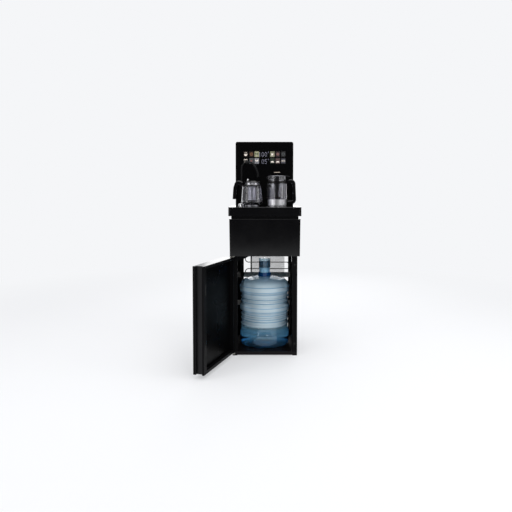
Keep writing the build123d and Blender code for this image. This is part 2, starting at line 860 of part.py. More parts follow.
def pot_infuser():
    """Strainer cup that hangs from the collar's ledge by its flange."""
    ledge = pot_ledge()
    cup_foot = ledge - 1 - infuser_drop - infuser_height
    outline = [
        (0, cup_foot),
        (infuser_radius, cup_foot),
        (infuser_radius, ledge),
        (pot_collar_bore - 0.4, ledge),
        (pot_collar_bore - 0.4, ledge + infuser_wall),
        (infuser_radius - infuser_wall, ledge + infuser_wall),
        (infuser_radius - infuser_wall, cup_foot + infuser_wall),
        (0, cup_foot + infuser_wall),
    ]
    cup = turned(outline, pot_centre)
    flange_z = (ledge - 1, ledge + infuser_wall + 1)
    for turn in range(infuser_windows):
        window = block((infuser_radius + 3, pot_collar_bore - pot_ledge_width - 3), around(0, 16), flange_z)
        cup -= Pos(pot_centre[0], pot_centre[1], 0) * Rot(0, 0, 360 / infuser_windows * turn) * window
    return cup


def pot_handle():
    """Open handle: a bridge from the collar that turns down and ends free."""
    _, low, high = pot_levels()
    x = pot_centre[0]
    start = x - pot_collar_radius + 3
    end = x - pot_shoulder_radius - pot_handle_stand_off
    path = FilletPolyline(
        (start, pot_centre[1], high + 4),
        (end + 15, pot_centre[1], high + 18),
        (end + 4, pot_centre[1], high - 16),
        (end, pot_centre[1], vessel_z + pot_handle_bottom),
        radius=(13, 40),
    )
    section = Plane(origin=path @ 0, x_dir=(0, 1, 0), z_dir=path % 0) * grip_section()
    handle = sweep(section, path=path)
    seat = disc(pot_collar_radius, (low - 5, vessel_z + 2 * pot_height), pot_centre)
    return handle - seat


def lid_seat():
    """Level of the lid skirt's lower edge, over the infuser's flange."""
    return pot_ledge() + infuser_wall + pot_lid_gap


def pot_lid():
    """Domed lid over a slotted skirt, with a fill hole under the spout."""
    low = lid_seat()
    dome = low + pot_strainer_height
    outline = [
        (pot_strainer_radius - pot_lid_wall, low),
        (pot_strainer_radius, low),
        (pot_strainer_radius, dome),
        (pot_lid_radius, dome + 1),
        (pot_lid_radius, dome + 3),
        (pot_lid_radius * 0.82, dome + pot_lid_dome_height * 0.72),
        (pot_lid_radius * 0.4, dome + pot_lid_dome_height),
        (0, dome + pot_lid_dome_height),
        (0, dome + pot_lid_dome_height - pot_lid_wall),
        (pot_lid_radius * 0.38, dome + pot_lid_dome_height - pot_lid_wall),
        (pot_strainer_radius - pot_lid_wall, dome + 2),
    ]
    lid = turned(outline, pot_centre)
    slot_x = (pot_strainer_radius - 5, pot_strainer_radius + 3)
    for turn in range(strainer_slots):
        angle = 360 / strainer_slots * (turn + 0.5)
        slot = block(slot_x, around(0, 7), (low + 4.5, dome - 1.5))
        lid -= Pos(pot_centre[0], pot_centre[1], 0) * Rot(0, 0, angle) * slot
    return lid - disc(pot_fill_hole_radius, (dome, dome + 2 * pot_lid_dome_height), fill_hole)


def pot_lid_knob():
    """Small turned knob on the handle side of the lid."""
    x = pot_centre[0] - knob_offset
    base = lid_seat() + pot_strainer_height + pot_lid_dome_height
    outline = [
        (0, base - 1.6),
        (knob_radius * 0.55, base - 1.6),
        (knob_radius * 0.55, base + 2.4),
        (knob_radius, base + 2.4),
        (knob_radius, base + 5),
        (knob_radius * 0.6, base + 7),
        (0, base + 7),
    ]
    knob = turned(outline, (x, pot_centre[1]))
    return knob - pot_lid()


# ----------------------------------------------------------------------- jug
def jug_levels():
    """Levels of the jug's steel base, sleeve top and rim."""
    base_top = vessel_z + jug_base_height
    return base_top, base_top + jug_sleeve_height, vessel_z + jug_height


def jug_base():
    """Steel cup under the jug, with a raised seat inside for the glass."""
    base_top, _, _ = jug_levels()
    seat = jug_glass_radius + jug_glass_gap
    outline = [
        (0, vessel_z),
        (jug_base_radius - 3, vessel_z),
        (jug_base_radius, vessel_z + 3),
        (jug_base_radius, base_top),
        (seat, base_top),
        (seat, vessel_z + 5),
        (0, vessel_z + 5),
    ]
    return turned(outline, jug_centre)


def lip_cone(inset):
    """The pouring lip's tilted cone, with its point down the jug's left side."""
    _, _, rim = jug_levels()
    tip_x = jug_centre[0] - jug_glass_radius + 4.5
    cone = Cone(3 - inset, 13 - inset, jug_lip_height * 1.5)
    lean = math.degrees(math.atan2(jug_lip_reach, jug_lip_height))
    middle_z = rim - jug_lip_height * 0.25
    middle_x = tip_x - jug_lip_reach * 0.75
    return Pos(middle_x, jug_centre[1], middle_z) * Rot(0, -lean, 0) * cone


def jug_glass():
    """Glass cylinder with a pouring lip on the left."""
    _, _, rim = jug_levels()
    inner = jug_glass_radius - jug_glass_wall
    foot = vessel_z + 5 + jug_glass_gap
    above = block((-500, 500), (-500, 500), (rim, rim + 200))
    body = disc(jug_glass_radius, (foot, rim), jug_centre) + (lip_cone(0) - above)
    bore = disc(inner, (foot + jug_glass_wall, rim + 1), jug_centre)
    return body - bore - lip_cone(jug_glass_wall * 0.8)


def jug_sleeve():
    """Clear outer sleeve that stands on the steel base, drawn in to the glass at its top."""
    base_top, sleeve_top, _ = jug_levels()
    inner = jug_sleeve_radius - jug_sleeve_wall
    bore = jug_glass_radius + jug_glass_gap
    foot = base_top + jug_glass_gap
    outline = [
        (inner, foot),
        (jug_sleeve_radius, foot),
        (jug_sleeve_radius, sleeve_top),
        (bore, sleeve_top),
        (bore, sleeve_top - jug_sleeve_wall),
        (inner, sleeve_top - jug_sleeve_wall),
    ]
    return turned(outline, jug_centre)


def jug_handle():
    """D-shaped handle between the steel base and a clamp band round the glass."""
    base_top, sleeve_top, _ = jug_levels()
    x, y = jug_centre
    low = vessel_z + jug_handle_low
    high = sleeve_top + jug_glass_gap + jug_band_height / 2
    grip = x + jug_sleeve_radius + jug_handle_stand_off
    path = FilletPolyline(
        (x + jug_base_radius - 1, y, low),
        (grip + 1, y, low + 1),
        (grip - 4, y, high + jug_handle_rise),
        (x + jug_glass_radius - 2, y, high - 1),
        radius=(16, 15),
    )
    section = Plane(origin=path @ 0, x_dir=(0, 1, 0), z_dir=path % 0) * grip_section()
    band_z = around(high, jug_band_height)
    clear = jug_glass_radius + jug_glass_gap
    handle = sweep(section, path=path)
    handle -= disc(jug_base_radius, (low - 40, base_top), jug_centre)
    handle -= disc(jug_sleeve_radius + jug_glass_gap, (base_top, band_z[0]), jug_centre)
    handle -= disc(clear + 3, (band_z[0] - 1, band_z[1] + 40), jug_centre)
    return handle + ring(clear + 3, clear, band_z, jug_centre)


def jug_lid():
    """Stepped lid that drops into the glass, with a thumb tab over the handle."""
    _, _, rim = jug_levels()
    bore = jug_glass_radius - jug_glass_wall
    flange = jug_glass_radius + 3
    outline = [
        (0, rim - jug_lid_thickness),
        (bore - jug_lid_gap - 2, rim - jug_lid_thickness),
        (bore - jug_lid_gap, rim - jug_lid_thickness + 2),
        (bore - jug_lid_gap, rim + 0.3),
        (flange, rim + 0.3),
        (flange, rim + jug_lid_flange - 1),
        (flange - 1, rim + jug_lid_flange),
        (0, rim + jug_lid_flange),
    ]
    reach, end_radius = jug_thumb_tab
    tip = Pos(jug_glass_radius + reach - end_radius, 0) * Circle(end_radius)
    tab = make_hull([*Circle(flange - 1).edges(), *tip.edges()])
    tab = extrude(tab, amount=jug_lid_flange - 0.3)
    return turned(outline, jug_centre) + Pos(jug_centre[0], jug_centre[1], rim + 0.3) * tab


def jug_lid_loop():
    """Flat loop that stands on the lid as its knob."""
    _, _, rim = jug_levels()
    length, width, height = loop_size
    base = rim + jug_lid_flange
    x, y = jug_centre
    loop = block(around(x, length), around(y, width), (base, base + height))
    loop = fillet(loop.edges().filter_by(Axis.Y).group_by(Axis.Z)[-1], 5)
    hole_x = around(x, length - 2 * loop_bar)
    return loop - block(hole_x, around(y, width + 2), (base + loop_bar - 1, base + height - loop_bar))


# --------------------------------------------------------------------- spout
def spout_points():
    """The spout's route: up the riser, over the arch and down to the outlet."""
    x, y = riser
    top = deck_z + spout_height
    reach_x = outlet[0] - x
    share = (outlet[1] - y) / reach_x

    def out(reach, level):
        return (x + reach, y + share * reach, level)

    return [
        (x, y, deck_z - spout_socket_depth),
        (x, y, top - 26),
        out(18, top - 4.8),
        out(56, top - 4.8),
        out(reach_x - spout_spread, top - 34),
        out(reach_x - 1, top - 62),
        out(reach_x, top - spout_drop + nozzle_length * 0.6),
    ]


def spout_tube():
    """Bent tube of the swivelling spout."""
    return pipe(spout_points(), (22, 24, 32, 60, 40), Circle(spout_tube_radius))


def spout_nozzle():
    """Outlet ring over the tube's end."""
    end = spout_points()[-1]
    z = (end[2] - nozzle_length * 0.4, end[2] + nozzle_length * 0.6)
    centre = (end[0], end[1])
    sleeve = disc(nozzle_radius, z, centre) - disc(spout_tube_radius - 1.2, (z[0] - 1, end[2] + 1), centre)
    return sleeve - spout_tube()


def spout_collar():
    """Domed ring on the deck in which the riser swivels."""
    dome = []
    for step in range(collar_steps + 1):
        angle = math.radians(90 / collar_steps * step)
        radius = collar_top_radius + (collar_radius - collar_top_radius) * math.cos(angle)
        level = collar_edge_height + (collar_height - collar_edge_height) * math.sin(angle)
        dome.append((radius, deck_z + level))
    bore = spout_tube_radius + pin_clearance
    outline = [(bore, deck_z), (collar_radius, deck_z), *dome, (bore, deck_z + collar_height)]
    return turned(outline, riser)


# ------------------------------------------------------------------- display
def display_body(y):
    """A slab of the display's outline with its two upper corners rounded."""
    slab = block(around(0, display_width), y, (deck_z, deck_z + display_height))
    return fillet(slab.edges().filter_by(Axis.Y).group_by(Axis.Z)[-1], display_corner_radius)


def display_glass():
    """Front glass of the display."""
    return display_body((display_front_y, display_front_y + display_glass_thickness))


def board_limits(clearance):
    """The limits of the display's circuit board, grown by the clearance."""
    width, depth, height = display_board_size
    front = display_front_y + display_glass_thickness
    x = around(0, width + 2 * clearance)
    y = (front, front + depth + clearance)
    z = around(deck_z + display_height - display_board_drop - height / 2, height + 2 * clearance)
    return x, y, z


def display_housing():
    """Back shell of the display, with a pocket for its circuit board."""
    y = (display_front_y + display_glass_thickness, back_y)
    body = display_body(y)
    back_edges = body.faces().sort_by(Axis.Y)[-1].edges().sort_by(Axis.Z)[1:]
    body = fillet(back_edges, 4)
    pocket_x, pocket_y, pocket_z = board_limits(0.3)
    return body - block(pocket_x, (pocket_y[0] - 1, pocket_y[1]), pocket_z)


def display_board():
    """Circuit board behind the glass."""
    return block(*board_limits(0))


# ------------------------------------------------------------------ the back
def run_levels():
    """Levels of the condenser's tube runs, lowest first."""
    return [condenser_lowest_run + step * condenser_pitch for step in range(condenser_runs)]


bend_reach = condenser_pitch / 2
run_left = condenser_left + bend_reach
run_right = condenser_right - bend_reach
discharge_x = run_right + discharge_overrun
discharge_z = run_levels()[-1]


def condenser_tube():
    """One long tube bent to and fro, with its upper end turned in through the rear panel."""
    edges = []
    levels = run_levels()
    for step, level in enumerate(levels):
        rightward = step % 2 == 0
        start_x, end_x = (run_left, run_right) if rightward else (run_right, run_left)
        if step == len(levels) - 1:
            end_x = discharge_x
        edges.append(Line((start_x, condenser_y, level), (end_x, condenser_y, level)))
        if step < len(levels) - 1:
            side = 1 if rightward else -1
            middle = (end_x + side * bend_reach, condenser_y, level + bend_reach)
            upper = (end_x, condenser_y, level + condenser_pitch)
            edges.append(ThreePointArc((end_x, condenser_y, level), middle, upper))
    path = Wire([edge for part in edges for edge in part.edges()])
    return sweep(Plane(origin=path @ 0, z_dir=path % 0) * small_bore(condenser_tube_radius), path=path)


def condenser_wires():
    """Upright wires on both faces of the tube, staggered by half a pitch."""
    levels = run_levels()
    low = levels[0] - wire_overrun
    height = levels[-1] - levels[0] + 2 * wire_overrun
    offset = condenser_tube_radius + wire_gap + wire_radius
    count = 1 + int((run_right - run_left - 2 * wire_pitch) // wire_pitch)
    wires = []
    for face, shift in ((-1, 0), (1, wire_pitch / 2)):
        for step in range(count):
            x = run_left + wire_pitch + shift + step * wire_pitch
            section = Pos(x, condenser_y + face * offset, low) * RegularPolygon(wire_radius, 6)
            wires.append(extrude(section, height))
    return group(*wires)


def condenser_clips():
    """Saddles that hold tube runs off the braces and off the rear panel."""
    width, height = clip_size
    levels = run_levels()
    seats = [(levels[run], back_y - sheet) for run, _ in braced_runs]
    seats.append((levels[clipped_top_run], rear_panel_y))
    clips = []
    for x in (run_left + width / 2, run_right - width / 2):
        for level, seat_y in seats:
            clip = block(around(x, width), (seat_y, condenser_y + 1), around(level, height))
            hole = rod_along_x(condenser_tube_radius + 0.15, around(x, width + 30), condenser_y, level)
            clips.append(clip - hole)
    return group(*clips)


def drain_hose():
    """Tank drain: through the ceiling, back between the braces and the condenser, and down."""
    inside_y = back_y - 8
    outside_y = back_y + drain_radius + 0.1
    points = [
        (drain_x, inside_y, ceiling_top_z + 14),
        (drain_x, inside_y, ceiling_z - 22),
        (drain_x - 1, outside_y, ceiling_z - 56),
        (drain_x - 1, outside_y, tray_height + 30),
    ]
    return pipe(points, (40, 40), small_bore(drain_radius))


# ----------------------------------------------------------- the compartment
def compressor():
    """Hermetic compressor: welded shell on a foot plate, with its terminal cover."""
    x, y = compressor_centre
    foot = ceiling_top_z + grommet_height
    base = foot + compressor_foot[2]
    top = base + compressor_height
    outline = [
        (0, base),
        (compressor_radius, base),
        (compressor_radius, base + 62),
        (compressor_radius + 3, base + 62),
        (compressor_radius + 3, base + 68),
        (compressor_radius, base + 68),
        (compressor_radius, top - 30),
        (compressor_radius * 0.75, top - 6),
        (0, top),
    ]
    length, depth, thickness = compressor_foot
    plate = block(around(x, length), around(y, depth), (foot, foot + thickness))
    cover_y = (y - compressor_radius - 18, y - compressor_radius + 14)
    cover = block(around(x, 48), cover_y, (base + 18, base + 60))
    return plate + turned(outline, compressor_centre) + fillet(cover.edges().filter_by(Axis.Z), 3)


def compressor_mounts():
    """Rubber grommets under the compressor's foot plate."""
    x, y = compressor_centre
    reach_x = compressor_foot[0] / 2 - grommet_radius - 2
    reach_y = compressor_foot[1] / 2 - grommet_radius - 2
    z = (ceiling_top_z, ceiling_top_z + grommet_height)
    corners = [(x + i * reach_x, y + j * reach_y) for i in (-1, 1) for j in (-1, 1)]
    return group(*[disc(grommet_radius, z, corner) for corner in corners])


def tank_levels():
    """Levels of the cold tank inside its insulation."""
    low = ceiling_top_z + insulation_thickness
    return low, low + tank_height


def cold_tank():
    """Steel tank."""
    return disc(tank_radius, tank_levels(), tank_centre)


def tank_insulation():
    """Foam block round the tank."""
    low, high = tank_levels()
    side = 2 * (tank_radius + insulation_thickness)
    x, y = tank_centre
    z = (low - insulation_thickness, high + insulation_thickness)
    jacket = block(around(x, side), around(y, side), z)
    return jacket - disc(tank_radius, (low, high), tank_centre)


def water_pump():
    """Motor and pump head, lying across the front of the compartment."""
    x, y = pump_centre
    z = ceiling_top_z + pump_head[2] / 2
    head = block(around(x, pump_head[0]), around(y, pump_head[1]), around(z, pump_head[2]))
    motor = rod_along_x(pump_radius, (x - pump_head[0] / 2 - pump_length, x), y, z)
    foot_x = (x - pump_head[0] / 2 - pump_length * 0.8, x - pump_head[0] / 2 - pump_length * 0.3)
    foot = block(foot_x, around(y, pump_radius), (ceiling_top_z, z))
    return head + motor + foot


def control_board():
    """Mains board with its relays, on posts behind the front bulkhead."""
    width, thickness, height = board_size
    x = board_x
    z = ceiling_top_z + board_lift + height / 2
    back = front_y + sheet + board_stand_off
    board = block(around(x, width), (back, back + thickness), around(z, height))
    for dx, dz, size_x, size_y, size_z in board_parts():
        part_y = (back + thickness, back + thickness + size_y)
        board += block(around(x + dx, size_x), part_y, around(z + dz, size_z))
    for i in (-1, 1):
        for j in (-1, 1):
            post = rod_along_y(3, x + i * (width / 2 - 6), (front_y + sheet, back), z + j * (height / 2 - 6))
            board += post
    return board


def board_parts():
    """Transformer, relays and connectors: place on the board, then size."""
    return [
        (-34, 18, 38, 30, 34),
        (4, 24, 19, 16, 15),
        (28, 24, 19, 16, 15),
        (-20, -28, 44, 10, 8),
        (30, -20, 22, 12, 22),
    ]


def discharge_line():
    """Copper pipe from the compressor's top out to the condenser."""
    x, y = compressor_centre
    start_z = ceiling_top_z + grommet_height + compressor_foot[2] + compressor_height - 3
    points = [
        (x - 10, y, start_z + 3),
        (x - 10, y, start_z + 20),
        (discharge_x, y + 30, start_z + 20),
        (discharge_x, y + 48, discharge_z),
        (discharge_x, condenser_y - condenser_tube_radius - 0.3, discharge_z),
    ]
    return pipe(points, (7, 10, 10), small_bore(pipe_radius))


def delivery_tube():
    """Tube from the pump's head up to the spout's riser."""
    x, y = pump_centre
    start_z = ceiling_top_z + pump_head[2]
    points = [
        (x, y, start_z),
        (x, y, start_z + 60),
        (riser_x, y + 30, fascia_top_z - 34),
        (riser_x, riser_y, fascia_top_z - 12),
        (riser_x, riser_y, deck_z - spout_socket_depth - 0.3),
    ]
    return pipe(points, (24, 24, 14), small_bore(hose_radius))


def suction_hose():
    """Hose from the pump down through the ceiling to the parked probe's head."""
    x = inner_x - probe_side_gap
    head_x, head_y = pump_centre
    pump_z = ceiling_top_z + 14
    points = [
        (head_x + pump_head[0] / 2, head_y, pump_z),
        (x, head_y, pump_z),
        (x, probe_y, ceiling_top_z + 26),
        (x, probe_y, ceiling_z - probe_top_drop),
    ]
    return pipe(points, (16, 16), small_bore(hose_radius))


def suction_probe():
    """Dip probe on its hanger: head, rigid stem and slotted strainer foot."""
    x = inner_x - probe_side_gap
    top = ceiling_z - probe_top_drop
    low = top - probe_length
    centre = (x, probe_y)
    probe = disc(probe_radius, (low, top), centre)
    probe += disc(probe_radius + 3, (top - 34, top - 10), centre)
    probe += disc(probe_radius + 1.5, (low, low + 30), centre)
    for step in range(3):
        z = around(low + 8 + 7 * step, 2.5)
        probe -= block((x - 20, x - 3), (probe_y - 20, probe_y + 20), z)
    return probe


def probe_clips():
    """Two open clips on the side wall that hold the probe's stem."""
    x = inner_x - probe_side_gap
    top = ceiling_z - probe_top_drop
    clips = []
    for level in (top - 48, top - probe_length + 70):
        clip = block((x - 3, inner_x), around(probe_y, probe_clip_depth), around(level, 12))
        clips.append(clip - disc(probe_radius + 0.3, around(level, 20), (x, probe_y)))
    return group(*clips)


def switch_place():
    """Middle of the rear switch: x, y of the panel's outer face and z."""
    return inlet_x, rear_panel_y, service_row_z + switch_above_inlet


def inlet_module():
    """Moulded unit on the rear panel: mains socket with three blades below, rocker frame above."""
    width, height, depth = inlet_size
    socket_x, socket_z, socket_depth = inlet_socket
    x, panel_y, switch_z = switch_place()
    face = panel_y + inlet_flange
    low = service_row_z - height / 2 - 4
    high = switch_z + switch_size[2] / 2
    body = block(around(x, width), (panel_y, face), (low, high))
    behind_x = around(x, width - 4.4)
    body += block(behind_x, (panel_y - depth, panel_y), around(service_row_z, height - 0.4))
    body += block(behind_x, (panel_y - switch_size[1], panel_y), around(switch_z, switch_size[2] - 4.4))
    body -= block(around(x, socket_x), (face - socket_depth, face + 1), around(service_row_z, socket_z))
    hole_x, hole_z = switch_hole
    body -= block(around(x, hole_x), (panel_y - switch_size[1] + 2, face + 1), around(switch_z, hole_z))
    for step in (-1, 0, 1):
        blade_y = (face - socket_depth, face - 3)
        body += block(around(x + 7 * step, 1.8), blade_y, around(service_row_z, 4))
    return body


def switch_rocker():
    """Rocker that tilts about a level axis, shown with its upper half pressed."""
    x, y, z = switch_place()
    width = switch_hole[0] - 2 * switch_gap
    half = switch_hole[1] / 2 - 1.6
    outline = [
        (-half, 2.2),
        (0, 0.4),
        (half, 2.2),
        (half - 1.2, -4),
        (-half + 1.2, -4),
    ]
    face = make_face(Polyline(*outline, close=True))
    rocker = extrude(Plane.YZ * Rot(0, 0, 90) * face, width / 2, both=True)
    return Pos(x, y, z) * Rot(switch_tilt, 0, 0) * Rot(0, 0, 180) * rocker


nodes = {
    "base_tray": base_tray,
    "left_side_panel": lambda: side_panel(-1),
    "right_side_panel": lambda: side_panel(1),
    "back_braces": lambda: group(*[brace(*place) for place in braced_runs]),
    "cable_duct": cable_duct,
    "hinge_gusset": hinge_gusset,
    "bay_ceiling": bay_ceiling,
    "front_bulkhead": front_bulkhead,
    "rear_panel": rear_panel,
    "fascia_cover": fascia_cover,
    "neck_frame": neck_frame,
    "counter_top": counter_top,
    "heating_plate": lambda: deck_plate(*deck_seats()[0], (40,)),
    "jug_plate": lambda: deck_plate(*deck_seats()[1], ()),
    "door_front_panel": lambda: hung_open(door_front_panel()),
    "door_frame": lambda: hung_open(door_frame()),
    "door_inner_liner": lambda: hung_open(door_inner_liner()),
    "door_edge_grip": lambda: hung_open(door_edge_grip()),
    "door_magnets": lambda: hung_open(door_magnets()),
    "door_bushes": lambda: hung_open(door_bushes()),
    "hinge_brackets": hinge_brackets,
    "hinge_pins": lambda: group(hinge_pins(), hinge_washers()),
    "door_bumpers": door_bumpers,
    "bottle_shell": bottle_shell,
    "bottle_collar": bottle_collar,
    "bottle_cap": bottle_cap,
    "bottle_water": bottle_water,
    "pot_glass": pot_glass,
    "pot_base": pot_base,
    "pot_collar": pot_collar,
    "pot_infuser": pot_infuser,
    "pot_handle": pot_handle,
    "pot_lid": pot_lid,
    "pot_lid_knob": pot_lid_knob,
    "jug_base": jug_base,
    "jug_glass": jug_glass,
    "jug_sleeve": jug_sleeve,
    "jug_handle": jug_handle,
    "jug_lid": jug_lid,
    "jug_lid_loop": jug_lid_loop,
    "spout_tube": spout_tube,
    "spout_nozzle": spout_nozzle,
    "spout_collar": spout_collar,
    "display_glass": display_glass,
    "display_housing": display_housing,
    "condenser_tube": condenser_tube,
    "condenser_wires": condenser_wires,
    "condenser_clips": condenser_clips,
    "drain_hose": drain_hose,
    "compressor": compressor,
    "compressor_mounts": compressor_mounts,
    "discharge_line": discharge_line,
    "cold_tank": lambda: group(cold_tank(), tank_insulation()),
    "water_pump": water_pump,
    "circuit_boards": lambda: group(control_board(), display_board()),
    "water_hoses": lambda: group(suction_hose(), delivery_tube()),
    "suction_probe": suction_probe,
    "probe_clips": probe_clips,
    "inlet_module": inlet_module,
    "switch_rocker": switch_rocker,
}

os.makedirs("parts", exist_ok=True)
for name, make in nodes.items():
    export_step(make(), f"parts/{name}.step")
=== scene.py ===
import math

import bmesh
import bpy
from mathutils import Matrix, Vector


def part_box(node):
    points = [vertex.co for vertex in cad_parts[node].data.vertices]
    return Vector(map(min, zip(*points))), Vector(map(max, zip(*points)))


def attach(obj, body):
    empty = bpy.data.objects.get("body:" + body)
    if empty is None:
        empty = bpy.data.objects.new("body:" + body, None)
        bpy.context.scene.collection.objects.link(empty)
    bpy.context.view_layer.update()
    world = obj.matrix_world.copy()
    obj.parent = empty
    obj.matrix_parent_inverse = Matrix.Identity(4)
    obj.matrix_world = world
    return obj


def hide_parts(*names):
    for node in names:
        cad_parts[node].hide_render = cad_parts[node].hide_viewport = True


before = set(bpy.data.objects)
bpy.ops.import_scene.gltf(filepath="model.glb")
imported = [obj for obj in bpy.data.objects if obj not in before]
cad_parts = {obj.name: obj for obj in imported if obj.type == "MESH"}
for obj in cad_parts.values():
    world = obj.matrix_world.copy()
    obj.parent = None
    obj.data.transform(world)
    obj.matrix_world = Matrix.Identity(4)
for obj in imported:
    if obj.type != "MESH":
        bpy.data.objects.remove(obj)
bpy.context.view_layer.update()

# Metres throughout, in the frame's own axes: X right, Z up, the front faces -Y.
MM = 0.001

# ------------------------------------------------------------- driving values
sensor, lens = 36, 34.67         # mm
camera_place = (-0.0175, -2.6125, 0.8175)
camera_pitch = 2.478             # degrees down
camera_shift = (-0.0103, -0.08)

backdrop = (0.913, 0.921, 0.939)
ambient = 0.62                   # the world's strength where it lights the object
floor_half = 9.0                 # half the floor's side
floor_drop = 0.0004              # the floor lies this far under the object
floor_fade = (1.0, 3.2)          # distances between which the floor turns into the backdrop
floor_glow = 0.4                 # the backdrop's share in the floor near the object

# Cards for the gloss to mirror, which every other ray passes; the front ones are also seen
# through glass. Name, middle, the way each faces, width and height, grey, rays that pass it.
passing = ("camera", "diffuse", "shadow")
flags = [
    ("front_flag", (0, -5.0, 0.9), (0, 1), (1.7, 3.0), 0.05, passing),
    ("wide_flag", (0, -5.2, 2.0), (0, 1), (9.5, 7.5), 0.2, passing),
    ("right_flag", (3.2, 3.0, 1.2), (-1, -1), (5.0, 5.0), 0.01, (*passing, "transmission")),
    ("side_flag", (4.2, -1.6, 1.2), (-1, 0.2), (3.4, 5.0), 0.01, (*passing, "transmission")),
    ("left_flag", (-4.2, 0.6, 1.2), (1, 0), (3.0, 5.0), 0.01, (*passing, "transmission")),
]
# Name, place, height that the lamp is aimed at over the origin, width and height, power in W.
lamps = [
    ("top_light", (0.3, -0.6, 3.2), 0.5, (2.6, 2.6), 38),
    ("left_light", (-2.6, -1.8, 1.9), 0.6, (1.4, 2.2), 17),
    ("right_light", (2.6, -1.2, 1.7), 0.6, (1.2, 2.0), 13),
    ("front_light", (0.9, -3.2, 1.9), 0.5, (0.8, 0.25), 12),
    ("left_strip", (-1.5, -2.6, 1.2), 0.7, (0.12, 1.6), 3),
    ("right_strip", (1.7, -2.4, 1.2), 0.7, (0.12, 1.6), 3),
    ("back_light", (0.4, 2.4, 1.6), 0.5, (2.2, 2.2), 20),
]

soft_edge = 0.6 * MM             # radius to which the opaque finishes soften the edges
rim_blend = 0.35                 # how near to edge on a clear wall takes its rim's tint
pot_lid_skirt = 13 * MM          # height of the steel skirt under the pot's lid
jug_lid_rim = (46 * MM, 51 * MM)        # radii of the steel rim on the jug's lid
door_edge_depth = 2 * MM         # depth of the loop's top faces on the jug's lid that carry a painted highlight in lighter metal
loop_top_depth = 4 * MM          # the bronze top of the loop on the jug's lid
infuser_holes = (34, 290)        # round the infuser, and per metre up it
hole_radius = 0.27               # of the distance from one hole to the next

tile_size = (24.4 * MM, 30.5 * MM)
tile_columns = (-102.8 * MM, -71.2 * MM, -42.2 * MM, 43.4 * MM, 72.7 * MM, 103.1 * MM)
tile_rows = (1033.8 * MM, 997.0 * MM)
digit_rows = (1032.4 * MM, 993.4 * MM)
tile_radius = 2.0 * MM
print_step = 0.12 * MM           # height of one printed layer on the glass
digit_size = (10.6 * MM, 24.0 * MM)
digit_stroke = 1.4 * MM
digit_pitch = 16.6 * MM
digit_last = 7.3 * MM            # middle of the last digit in both rows
digit_colour = (0.60, 0.60, 0.66)
degree_radius, degree_stroke = 2.0 * MM, 0.9 * MM
degree_colour = (0.60, 0.60, 0.68)
print_glow = 0.45                # strength of the light behind the prints

bottle_turns = 96                # segments round the bottle
bottle_wall = 1.6 * MM
neck_radius = 29.0 * MM
punt = 26.0 * MM                 # height of the middle of the bottle's base
crease_shade_heights_mm = (134, 148, 169, 187, 207, 229, 249, 275, 289, 313)     # heights of the painted shade lines along the bottle's creases, in mm over its foot
crease_shade_reach = 2.4 * MM          # the painted crease shade fades out this far from its line
water_inset = bottle_wall * 0.8  # the water reaches a little into the wall, so no gap shows

grid_wire, grid_pitch, grid_sides = 1.6 * MM, 5.4 * MM, 6
screw_radius, screw_turns = 3.4 * MM, 16


# -------------------------------------------------------------- mesh helpers
def middle_of(name):
    """The middle of a node's box, seen from above."""
    low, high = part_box(name)
    return ((low.x + high.x) / 2, (low.y + high.y) / 2)


def add_object(name, data):
    """A new object in the scene."""
    made = bpy.data.objects.new(name, data)
    bpy.context.scene.collection.objects.link(made)
    return made


def add_piece(name, mesh, material, body, stands_for=()):
    """A shown piece with its material and body, hiding the nodes that it stands for."""
    piece = add_object(name, mesh)
    mesh.materials.append(material)
    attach(piece, body)
    if stands_for:
        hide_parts(*stands_for)


def finish_mesh(bm, name, sharp=35):
    """The bmesh as a mesh, smooth but for its sharp edges."""
    bmesh.ops.recalc_face_normals(bm, faces=bm.faces)
    mesh = bpy.data.meshes.new(name)
    bm.to_mesh(mesh)
    bm.free()
    mesh.shade_smooth()
    mesh.set_sharp_from_angle(angle=math.radians(sharp))
    return mesh


def circle(radius, turns):
    """Points round the origin, one per segment."""
    angles = [2 * math.pi * step / turns for step in range(turns)]
    return [(radius * math.cos(angle), radius * math.sin(angle)) for angle in angles]


def add_turned(bm, outline, centre, turns):
    """Adds the surface of a closed (radius, height) outline turned about an upright axis."""
    rings = []
    for radius, height in outline:
        points = circle(radius, turns) if radius else [(0, 0)]
        rings.append([bm.verts.new((centre[0] + x, centre[1] + y, height)) for x, y in points])
    for lower, upper in zip(rings, rings[1:] + rings[:1]):
        if len(lower) == len(upper) == 1:
            continue
        for step in range(turns):
            after = (step + 1) % turns
            corners = [lower[step % len(lower)], lower[after % len(lower)]]
            corners += [upper[after % len(upper)], upper[step % len(upper)]]
            bm.faces.new(list(dict.fromkeys(corners)))


def cut_corners(points):
    """The open line with its corners cut off, its ends kept."""
    line = [points[0]]
    for start, end in zip(points, points[1:]):
        a, b = Vector(start), Vector(end)
        line += [tuple(a.lerp(b, 0.25)), tuple(a.lerp(b, 0.75))]
    return line + [points[-1]]


# ---------------------------------------------------------- material helpers
def new_material(name):
    """A node material and its surface shader."""
    material = bpy.data.materials.new(name)
    material.use_nodes = True
    return material, material.node_tree, material.node_tree.nodes["Principled BSDF"]


def noise(tree, scale, stretch=(1, 1, 1), detail=3.0):
    """Noise in the object's own coordinates, with features of about 1/scale metres."""
    place = tree.nodes.new("ShaderNodeTexCoord")
    mapping = tree.nodes.new("ShaderNodeMapping")
    mapping.inputs["Scale"].default_value = stretch
    texture = tree.nodes.new("ShaderNodeTexNoise")
    texture.inputs["Scale"].default_value = scale
    texture.inputs["Detail"].default_value = detail
    tree.links.new(place.outputs["Object"], mapping.inputs["Vector"])
    tree.links.new(mapping.outputs["Vector"], texture.inputs["Vector"])
    return texture.outputs["Fac"]


def feed(tree, socket, value):
    """Links a socket to another one, or sets it to a number or a colour."""
    if isinstance(value, bpy.types.NodeSocket):
        tree.links.new(value, socket)
    elif isinstance(value, (int, float)):
        socket.default_value = value
    else:
        socket.default_value = (*value, 1)


